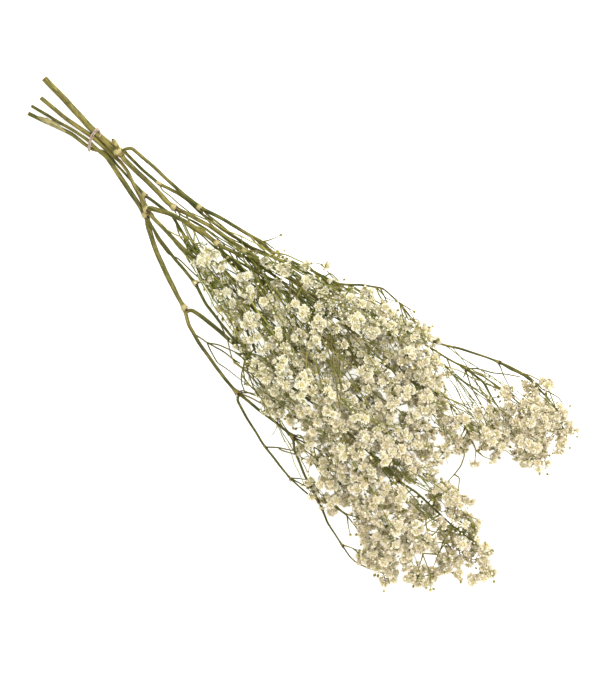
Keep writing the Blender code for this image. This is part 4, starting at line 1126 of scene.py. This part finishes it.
        [(410, -46, 56, 0), (404, -63, 60, 6.5)],
        [(410, -46, 56, 0), (416, -52, 26, 10)],
        [(410, -46, 56, 0), (421, -40, 40, 6)],
        [(417, -60, 62, 0), (409, -65, 46, 5.5)],
        [(410, -67, 40, 0), (417, -67, 36, 4.5)],
    ],
    "spray_fork_edge": [
        [(358, -84, 31.4, 0), (364, -80, 35, 7), (381, -80, 37, 0), (390, -74, 40, 6.5),
         (400, -75, 41, 6.5), (400, -81, 34, 4), (405, -84, 37, 4)],
        [(364, -80, 35, 0), (373, -71, 12, 6)],
        [(359.5, -87.5, 28, 4.2)],
        [(363, -87, 34, 0), (369.5, -86.5, 28, 3.5)],
    ],
    "spray_bottom_edge": [
        [(409, -100.4, 24.6, 0), (413.6, -96.3, 28, 6), (422, -93, 31, 7), (417, -85, 40, 7),
         (430, -84, 41, 5.5)],
        [(422, -93, 31, 0), (438, -91, 28, 3.8), (444, -92, 22, 5), (443, -99, 20, 3.5)],
        [(422, -93, 31, 0), (425.5, -83, 10, 9)],
        [(413.6, -96.3, 28, 0), (420, -98, 24, 4.5), (432, -94, 24, 4.5)],
        [(435, -80, 36, 4.5)],
    ],
    "spray_right_low": [
        [(440, -29, 49, 0), (431, -50, 61, 6.5), (446, -49, 56, 6.5), (441, -59, 52, 7),
         (437, -67, 45, 5.5), (443, -71, 45, 6)],
        [(440, -29, 49, 0), (444, -51, 24, 7)],
        [(431, -50, 61, 0), (428, -60, 44, 7)],
        [(440, -29, 49, 0), (447, -30, 44, 5.5), (454, -34, 40, 6)],
        [(440, -29, 49, 0), (426, -32.5, 38, 5)],
        [(446, -49, 56, 0), (463, -36.5, 44, 4), (468, -45, 42, 5)],
        [(446.5, -77.5, 34, 4)],
        [(445.5, -47.5, 46, 0), (451.5, -49, 40, 3.6)],
        [(433, -31, 52, 0), (440, -31, 56, 5.5)],
    ],
    "spray_right": [
        [(424, -21, 53.6, 0), (422, -13, 57, 6.5), (433, -8, 60, 7.5), (441, -7, 60, 5.6),
         (444, -17, 57, 6)],
        [(424, -21, 53.6, 0), (428, -8, 26, 11)],
        [(422, -13, 57, 0), (416, -10, 44, 4.5)],
        [(424, -21, 53.6, 0), (428, -24, 40, 6), (416, -34, 38, 6)],
        [(458, -28, 52, 0), (466, -28, 55, 5.5)],
        [(413, -20, 48, 0), (421.5, -19, 42, 3.6)],
        [(435.5, -14, 50, 0), (439.5, -16, 50, 5)],
        [(446, 0, 60, 3.4)],
    ],
    "spray_right_small": [
        [(459, -20.4, 52.5, 0), (457, -13, 57, 5.5), (465, -14, 55, 5)],
        [(459, -20.4, 52.5, 0), (465, -20, 44, 5), (458, -28, 42, 5)],
        [(452, -12, 46, 4.5)],
        [(460.5, -8.5, 54, 0), (465, -10.5, 48, 3.5)],
    ],
    "spray_tip": [
        [(478.6, -22, 49, 0), (485, -21, 54, 4.5), (491, -28, 48, 3.4), (495, -30, 50, 4),
         (500, -38, 46, 5),
         (494.5, -47, 42, 3.4)],
        [(478.6, -22, 49, 0), (475, -30, 45, 6), (483, -35, 44, 6), (475, -42, 42, 5.5),
         (484, -51, 38, 3.5)],
        [(503, -31, 40, 3.6)],
        [(465, -36, 46, 0), (472, -37, 42, 4.5)],
        [(475, -22.5, 44, 3.2)], [(488.5, -19, 46, 3)],
    ],
    "spray_tip_low": [
        [(450, -28.4, 48.5, 0), (454, -39, 44, 0), (459, -50, 40, 0), (467, -52, 36, 6),
         (472, -58, 33, 6.5), (467, -66, 27, 5), (460, -79, 20, 6.5), (458, -74, 8, 8)],
        [(448, -84, 38, 0), (456, -83, 32, 3.6)],
        [(463.5, -76.5, 36, 0), (469.5, -74.5, 30, 3.5)],
    ],
    "spray_crest_near": [
        [(389, 84.4, 49.6, 0), (405, 87, 57, 5), (417, 85, 60, 6), (424, 93, 62, 5.5)],
        [(405, 87, 57, 0), (416, 76.5, 58, 4.5), (408, 68, 53, 5)],
    ],
    "spray_crest_top": [
        [(436.6, 108.2, 59, 0), (449, 107, 65, 7), (459, 103, 66, 7), (465, 102, 61, 5)],
        [(459, 103, 66, 0), (460, 91, 60, 5.5), (470, 87, 54, 5.5)],
        [(449, 107, 65, 0), (447, 99, 26, 11)],
        [(449, 107, 65, 0), (420, 106.5, 50, 4), (414, 105, 48, 3.5)],
        [(436.6, 108.2, 59, 0), (423.3, 117.5, 58, 5)],
        [(467, 104, 56, 4)],
        [(463, 91.5, 58, 0), (468.5, 91, 52, 3.5)],
        [(422, 102.5, 56, 3.2)],
    ],
    "spray_crest": [
        [(418.6, 71.5, 51, 0), (430, 76, 62, 6), (438, 81, 70, 7), (437, 95, 70, 7),
         (448, 92, 71, 7)],
        [(418.6, 71.5, 51, 0), (422, 70, 54, 4.5), (431, 65, 56, 5), (445, 67, 66, 7), (455, 75, 66, 7)],
        [(445, 67, 66, 0), (457, 61, 54, 6.5), (467, 63, 50, 6), (469, 69, 50, 3.8)],
        [(431, 65, 56, 0), (434, 72, 26, 11), (450, 76, 13, 13)],
        [(437, 95, 70, 0), (430, 87, 46, 7)],
        [(437, 95, 70, 0), (430, 101, 60, 3.5)],
        [(457, 61, 54, 0), (459, 57, 46, 4)],
        [(455, 75, 66, 0), (461, 73, 46, 7)],
        [(448, 92, 71, 0), (455, 84, 52, 6)],
        [(445, 67, 66, 0), (445, 64, 46, 4)],
        [(448, 57, 44, 4.5)], [(436.5, 106, 54, 3.6)],
    ],
}
SIDE_START = (-7, 0, 6)  # mm
FLORET_SPACE = 5.6       # mm between florets' middles in a cluster
FLORET_MIDDLE = 2.6      # mm from a floret's foot to the middle of its rosette
FLOOR_ROOM = 5.4         # mm, the least height of a floret's middle
COMPANIONS_NEAR = 1.05   # companion twigs for each fork, in the half towards the tie
COMPANIONS_FAR = 0.35    # and in the half towards the tips
FAR_HALF = 300           # mm along X, where that half begins
KNOT_REACH = 0.9         # mm
KNOT_SWELL = 0.6         # of the twig's radius
FLORETS_PER_AREA = 0.145 # florets in a cluster for each square mm of its radius squared
HALF_OPEN_SHARE = 0.15   # of the florets
BUD_KEPT_SHARE = 0.6     # of the side twigs
COMPANION_BACK = (16, 100)   # mm, how far behind its fork a companion twig starts
COMPANION_LEAN = 0.28    # mm sideways for each mm back, the most
KNEE_ROOM, FOOT_ROOM, FORK_ROOM, BUD_ROOM, END_ROOM = 1.0, 0.8, 1.2, 1.5, 2.0  # mm, least heights
HAIR_SIDES = 4
SPRAY_WANDER, COMPANION_WANDER = 0.4, 0.7    # mm
SPRAY_BACK = 4.0         # mm back along its stalk that a spray leaves it


def cluster_places(middle, radius, dice):
    """The middles of a cluster's florets, spread apart inside its ball."""
    count = max(3, round(FLORETS_PER_AREA * radius**2))
    places = dice.normal(size=(count, 3))
    places *= ((radius - 1.5) * dice.uniform(0.3, 1, (count, 1)) ** 0.5
               / np.linalg.norm(places, axis=1)[:, None])
    for _ in range(30):
        gap = places[:, None] - places[None]
        apart = np.linalg.norm(gap, axis=-1) + np.eye(count) * 1e3
        push = np.clip(FLORET_SPACE - apart, 0, None)[..., None] * gap / apart[..., None]
        places += 0.3 * push.sum(axis=1)
        out = np.linalg.norm(places, axis=1)[:, None]
        places *= np.minimum(1, (radius - 0.8) / np.maximum(out, 1e-6))
    places += middle
    places[:, 2] = np.maximum(places[:, 2], FLOOR_ROOM)
    return places


def bent(start, end, thick, thin, bend, dice, points=4):
    """A short stalk path from start to end with one gentle bend in it."""
    share = np.linspace(0, 1, points)[:, None]
    sideways = dice.normal(size=3) * bend * np.linalg.norm(end - start)
    spine = start + (end - start) * share + sideways * (share * (1 - share) * 2)
    return np.hstack([spine, thick + (thin - thick) * share])


def cluster(faces, fork, middle, radius, dice):
    """Adds the florets and buds round middle, on stalks that fork again from fork."""
    places = cluster_places(middle, radius, dice)
    groups = places[: max(1, round(len(places) / 3))]
    nearest = np.linalg.norm(places[:, None] - groups[None], axis=-1).argmin(axis=1)
    for i in range(len(groups)):
        own = places[nearest == i]
        if not len(own):
            continue
        knee = fork + (own.mean(axis=0) - fork) * 0.5
        knee[2] = max(knee[2], KNEE_ROOM)
        tube(faces, bent(fork, knee, 0.42, 0.32, 0.12, dice), HAIR_SIDES, dryness=dice.uniform(0, 0.4))
        for place in own:
            ahead = unit(unit(place - fork) + dice.normal(size=3) * 0.3 + (0, 0, 0.25))
            size = dice.uniform(0.74, 1.0)
            foot = place - ahead * size * FLORET_MIDDLE
            foot[2] = max(foot[2], FOOT_ROOM)
            stalk = bent(knee, foot, 0.3, HAIR_RADIUS, 0.15, dice)
            tube(faces, stalk, HAIR_SIDES, dryness=dice.uniform(0, 0.5))
            kind = pick(half_open if dice.uniform() < HALF_OPEN_SHARE else florets, dice)
            plant(faces, kind, foot, ahead, size, withering(place, dice), dice)
    for _ in range(dice.integers(1, 4)):
        ahead = unit(dice.normal(size=3) + (0, 0, 0.3))
        foot = middle + ahead * (radius + dice.uniform(0.5, 4))
        foot[2] = max(foot[2], BUD_ROOM)
        tube(faces, bent(fork, foot, 0.32, 0.2, 0.25, dice, 7), HAIR_SIDES, dryness=dice.uniform(0, 0.5))
        plant(faces, pick(buds, dice), foot, ahead, dice.uniform(0.8, 1.3), withering(foot, dice), dice)


def fork_before(before, point):
    """Where a cluster's stalks leave the twig: a little before and below its middle."""
    back = unit(np.array(before[:3], float) - point[:3])
    fork = np.array(point[:3]) + (0.75 * back - (0, 0, 0.35)) * 0.6 * point[3]
    fork[2] = max(fork[2], FORK_ROOM)
    return fork


def knotted(path, places):
    """The path with a small brown knot at each place where a twig leaves it, and how near
    its points are to one."""
    near = np.zeros(len(path))
    for place in places:
        apart = np.linalg.norm(path[:, :3] - place[:3], axis=1)
        near = np.maximum(near, np.exp(-(apart / KNOT_REACH) ** 2))
    path = path.copy()
    path[:, 3] *= 1 + KNOT_SWELL * near
    return path, near


def side_twig(faces, start, ahead, length, dice):
    """Adds a hair-thin side twig that ends in a bud, or bare where its bud fell off."""
    out = unit(ahead + dice.normal(size=3) * 0.45)
    tip = start + out * length
    tip[2] = max(tip[2], BUD_ROOM)
    tube(faces, bent(start, tip, 0.36, 0.2, 0.2, dice, 6), HAIR_SIDES, dryness=0.4 * dice.uniform())
    if dice.uniform() < BUD_KEPT_SHARE:
        plant(faces, pick(buds, dice), tip, out, dice.uniform(0.6, 1.1), withering(tip, dice), dice)


def companion_twig(faces, fork, dice):
    """Adds a thin twig that leaves a stalk further back and runs up past the fork among the
    florets, with side twigs from small knots."""
    back = fork[0] - stalk_places[:, 0]
    beside = np.abs(fork[1] - stalk_places[:, 1])
    least, most = COMPANION_BACK
    near = stalk_places[(back > least) & (back < most) & (beside < COMPANION_LEAN * back + 3)]
    if not len(near):
        return
    start = pick(near, dice)
    along = unit(fork - start)
    end = fork + along * dice.uniform(-4, 16) + dice.normal(size=3) * (3, 3, 2)
    end[2] = max(end[2] + dice.uniform(-6, 10), END_ROOM)
    steps = 3 + int(np.linalg.norm(end - start) / 3.4)
    thick = dice.uniform(0.5, 0.8) * (1 if fork[0] < FAR_HALF else 0.65)
    path = wandering(bent(start, end, thick, 0.3, 0.08, dice, steps), COMPANION_WANDER, dice)
    knots = [path[int(steps * share), :3] for share in np.sort(dice.uniform(0.25, 0.95, 3))]
    path, near = knotted(path, [start, *knots])
    tube(faces, path, HAIR_SIDES, dryness=0.05 + 0.55 * dice.uniform(), near=near)
    for knot in knots:
        side_twig(faces, knot, along, dice.uniform(6, 18), dice)


def spray_faces(runs, dice):
    """The faces of one spray: its twigs, their clusters and its companion twigs."""
    faces = Faces()
    forks = []
    for run in runs:
        if len(run) == 1:
            run = [np.add(run[0][:3], SIDE_START), *run]
        if forks:
            start = min(forks, key=lambda fork: np.linalg.norm(fork - run[0][:3]))
        else:
            _, start = upstream(run[0], SPRAY_BACK)
        route = [(*start, TWIG_RADIUS)]
        for before, point in zip(run, run[1:]):
            fork = fork_before(before, point)
            route.append((*fork, TWIG_RADIUS))
            if point[3]:
                cluster(faces, fork, np.array(point[:3], float), point[3], dice)
            forks.append(fork)
        path = wandering(smooth(route, 2.4, 3), SPRAY_WANDER, dice)
        path[:, 3] = np.linspace(TWIG_RADIUS * 1.1, 0.4, len(path))
        path, near = knotted(path, forks)
        tube(faces, path, TWIG_SIDES, dryness=0.45 * dice.uniform(), near=near)
    for fork in forks:
        for _ in range(dice.poisson(COMPANIONS_NEAR if fork[0] < FAR_HALF else COMPANIONS_FAR)):
            companion_twig(faces, fork, dice)
    return faces


for number, (name, runs) in enumerate(SPRAYS.items()):
    faces = spray_faces(runs, np.random.default_rng(100 + number))
    grown(name, name + "_grown", faces, [twig_skin, petal_paper, calyx_skin])


# ---------------------------------------------------------------- the rubber band
# A thin tan rubber band, wound twice round the stems and pulled tight. Its two turns lie side
# by side, and it is tucked under itself over the thickest stem.

BAND_LOOP = [  # (y, z) of one turn's middle line, from the upper edge round below the stems
    (9.0, 8.6), (7.6, 6.4), (3.5, 5.0), (-3, 3.4), (-7.5, 2.6), (-10.4, 4.4), (-10.3, 7.2),
    (-7.5, 10.2), (-3.5, 12.0), (1, 13.0), (5.2, 13.3), (8.2, 11.6),
]
BAND_TUCK = [(4.4, 3.4, 11), (4.8, 5.8, 13.4), (3, 7.5, 12.6), (0.8, 8.6, 10.8)]   # (x, y, z)
BAND_X = -1.35      # mm, how far along the stems the turns lie at the upper edge
BAND_SLANT = 0.0255 # 1/mm, how the turns lean ahead towards the lower edge
BAND_APART = 0.75   # mm, each turn from the middle of the two
BAND_RADIUS = 0.62
BAND_SIDES = 8


def band_material():
    """Old rubber: pinkish tan with a dusty bloom and faint stretch lines."""
    made, tree, shader = new_skin("tan rubber")
    around, along = uv_parts(tree, "grain")
    bloom = noise(tree, own_place(tree), 500.0, 3.0)
    stretched = vector_of(tree, maths(tree, "MULTIPLY", around, 5.0), maths(tree, "MULTIPLY", along, 0.12))
    lines = noise(tree, stretched, 2.0, 2.0)
    dusty = maths(tree, "MULTIPLY_ADD", lines, 0.75, maths(tree, "MULTIPLY", bloom, 0.25))
    wear(tree, shader, ramp(tree, dusty, (0.4, (0.16, 0.10, 0.07)), (0.55, (0.60, 0.47, 0.40))),
         maths(tree, "MULTIPLY_ADD", bloom, 0.3, 0.4), lines, 0.3)
    return made


def wound_band():
    """The band from where it is tucked in, through both turns side by side, as one path."""
    turns = np.array(BAND_LOOP * 2 + BAND_LOOP[:3])
    side = BAND_APART * np.tanh(4 * np.linspace(-1.1, 0.9, len(turns)))[:, None]
    x = BAND_X + side + BAND_SLANT * (turns[:, :1] - 7) ** 2
    coil = np.vstack([BAND_TUCK, np.hstack([x, turns])])
    return smooth(np.hstack([coil, np.full((len(coil), 1), BAND_RADIUS)]), 0.6, 10)


faces = Faces()
tube(faces, wound_band(), BAND_SIDES)
grown("tie_band", "tie_band_wound", faces, [band_material()])


# ---------------------------------------------------------------- the dried sheath
# One withered leaf still clings along the lowest stem, its edges curled in round it.

SHEATH_ROUTE = [  # (x, y, z, half width)
    (-46, -20.3, 4.5, 0.9), (-40, -17.8, 5.1, 2.0), (-33, -15.2, 5.8, 2.5), (-26, -13.4, 7.0, 1.8),
    (-19, -12.8, 8.0, 0.6),
]
SHEATH_THICKNESS = 0.25
SHEATH_CURL = 1.9        # radians, how far each edge is curled round


def curled_sheath():
    """The leaf as a thin closed shell, curled across its width and crinkled along it."""
    path = smooth(SHEATH_ROUTE, 1.0, 8)
    ahead, _, _ = frames(path[:, :3])
    level = np.cross((0.0, 0.0, 1.0), ahead)
    level /= np.linalg.norm(level, axis=1)[:, None]
    up = np.cross(ahead, level)
    angle = np.linspace(-SHEATH_CURL, SHEATH_CURL, 9)
    radius = path[:, 3:4] / math.sin(min(SHEATH_CURL, math.pi / 2))
    crinkle = 1 + 0.12 * np.sin(lengths(path)[:, None] * 1.1 + 3 * angle)
    sideways, height = np.sin(angle) * radius * crinkle, (np.cos(angle) - 0.6) * radius * crinkle
    outer = path[:, None, :3] + level[:, None] * sideways[..., None] + up[:, None] * height[..., None]
    away = level[:, None] * np.sin(angle)[:, None] + up[:, None] * np.cos(angle)[:, None]
    faces = Faces()
    shell(faces, outer, outer - SHEATH_THICKNESS * away, 1.0, 0.5)
    return faces


sheath_skin = stalk_material("sheath skin", (0.20, 0.19, 0.05), (0.52, 0.45, 0.22), (0.26, 0.17, 0.08),
                             (0.6, 0.52, 0.3), 0.7)
grown("dried_sheath", "dried_sheath_curled", curled_sheath(), [sheath_skin])


# ---------------------------------------------------------------- floor, light and camera
# The bunch lies on a plain white floor under a broad soft light, a weak one from the side and
# an even warm sky. It is seen from straight above through a long lens, across the frame.

VIEW_MIDDLE = np.array((254.0, -7.4, 40.0))   # mm, in the lists' places
VIEW_SPAN = 595.0        # mm that the frame's long side takes in at that height
VIEW_TURN = math.radians(44)
LENS, SENSOR = 500.0, 36.0
SUNS = [  # (name, strength, softness in degrees, direction it comes from)
    ("soft light", 2.0, 40, (0.1, 0.65, 1.0)),
    ("side light", 0.6, 60, (0.2, 1.0, 0.35)),
]

bpy.ops.mesh.primitive_plane_add(size=12)
floor = bpy.context.object
floor.name = "floor"
white, _, paint = new_skin("white floor")
paint.inputs["Base Color"].default_value = (0.9, 0.9, 0.9, 1)
paint.inputs["Roughness"].default_value = 0.9
paint.inputs["Emission Color"].default_value = (1, 1, 1, 1)
paint.inputs["Emission Strength"].default_value = 0.62
floor.data.materials.append(white)

sky = bpy.data.worlds.new("even sky")
sky.use_nodes = True
glow = sky.node_tree.nodes["Background"].inputs
glow["Color"].default_value = (1, 0.965, 0.855, 1)
glow["Strength"].default_value = 0.92
bpy.context.scene.world = sky

for title, energy, spread, source in SUNS:
    lamp = bpy.data.lights.new(title, "SUN")
    lamp.energy = energy
    lamp.angle = math.radians(spread)
    light = bpy.data.objects.new(title, lamp)
    light.rotation_euler = Vector(source).to_track_quat("Z", "Y").to_euler()
    bpy.context.scene.collection.objects.link(light)

lens = bpy.data.cameras.new("camera")
lens.lens = LENS
lens.sensor_width = SENSOR
lens.clip_end = 50
camera = bpy.data.objects.new("camera", lens)
above = np.array((0, 0, VIEW_SPAN * LENS / SENSOR))
camera.location = (VIEW_MIDDLE + above) * MM + shift
camera.rotation_euler = (0, 0, VIEW_TURN)
bpy.context.scene.collection.objects.link(camera)
bpy.context.scene.camera = camera
bpy.context.scene.view_settings.view_transform = "Standard"
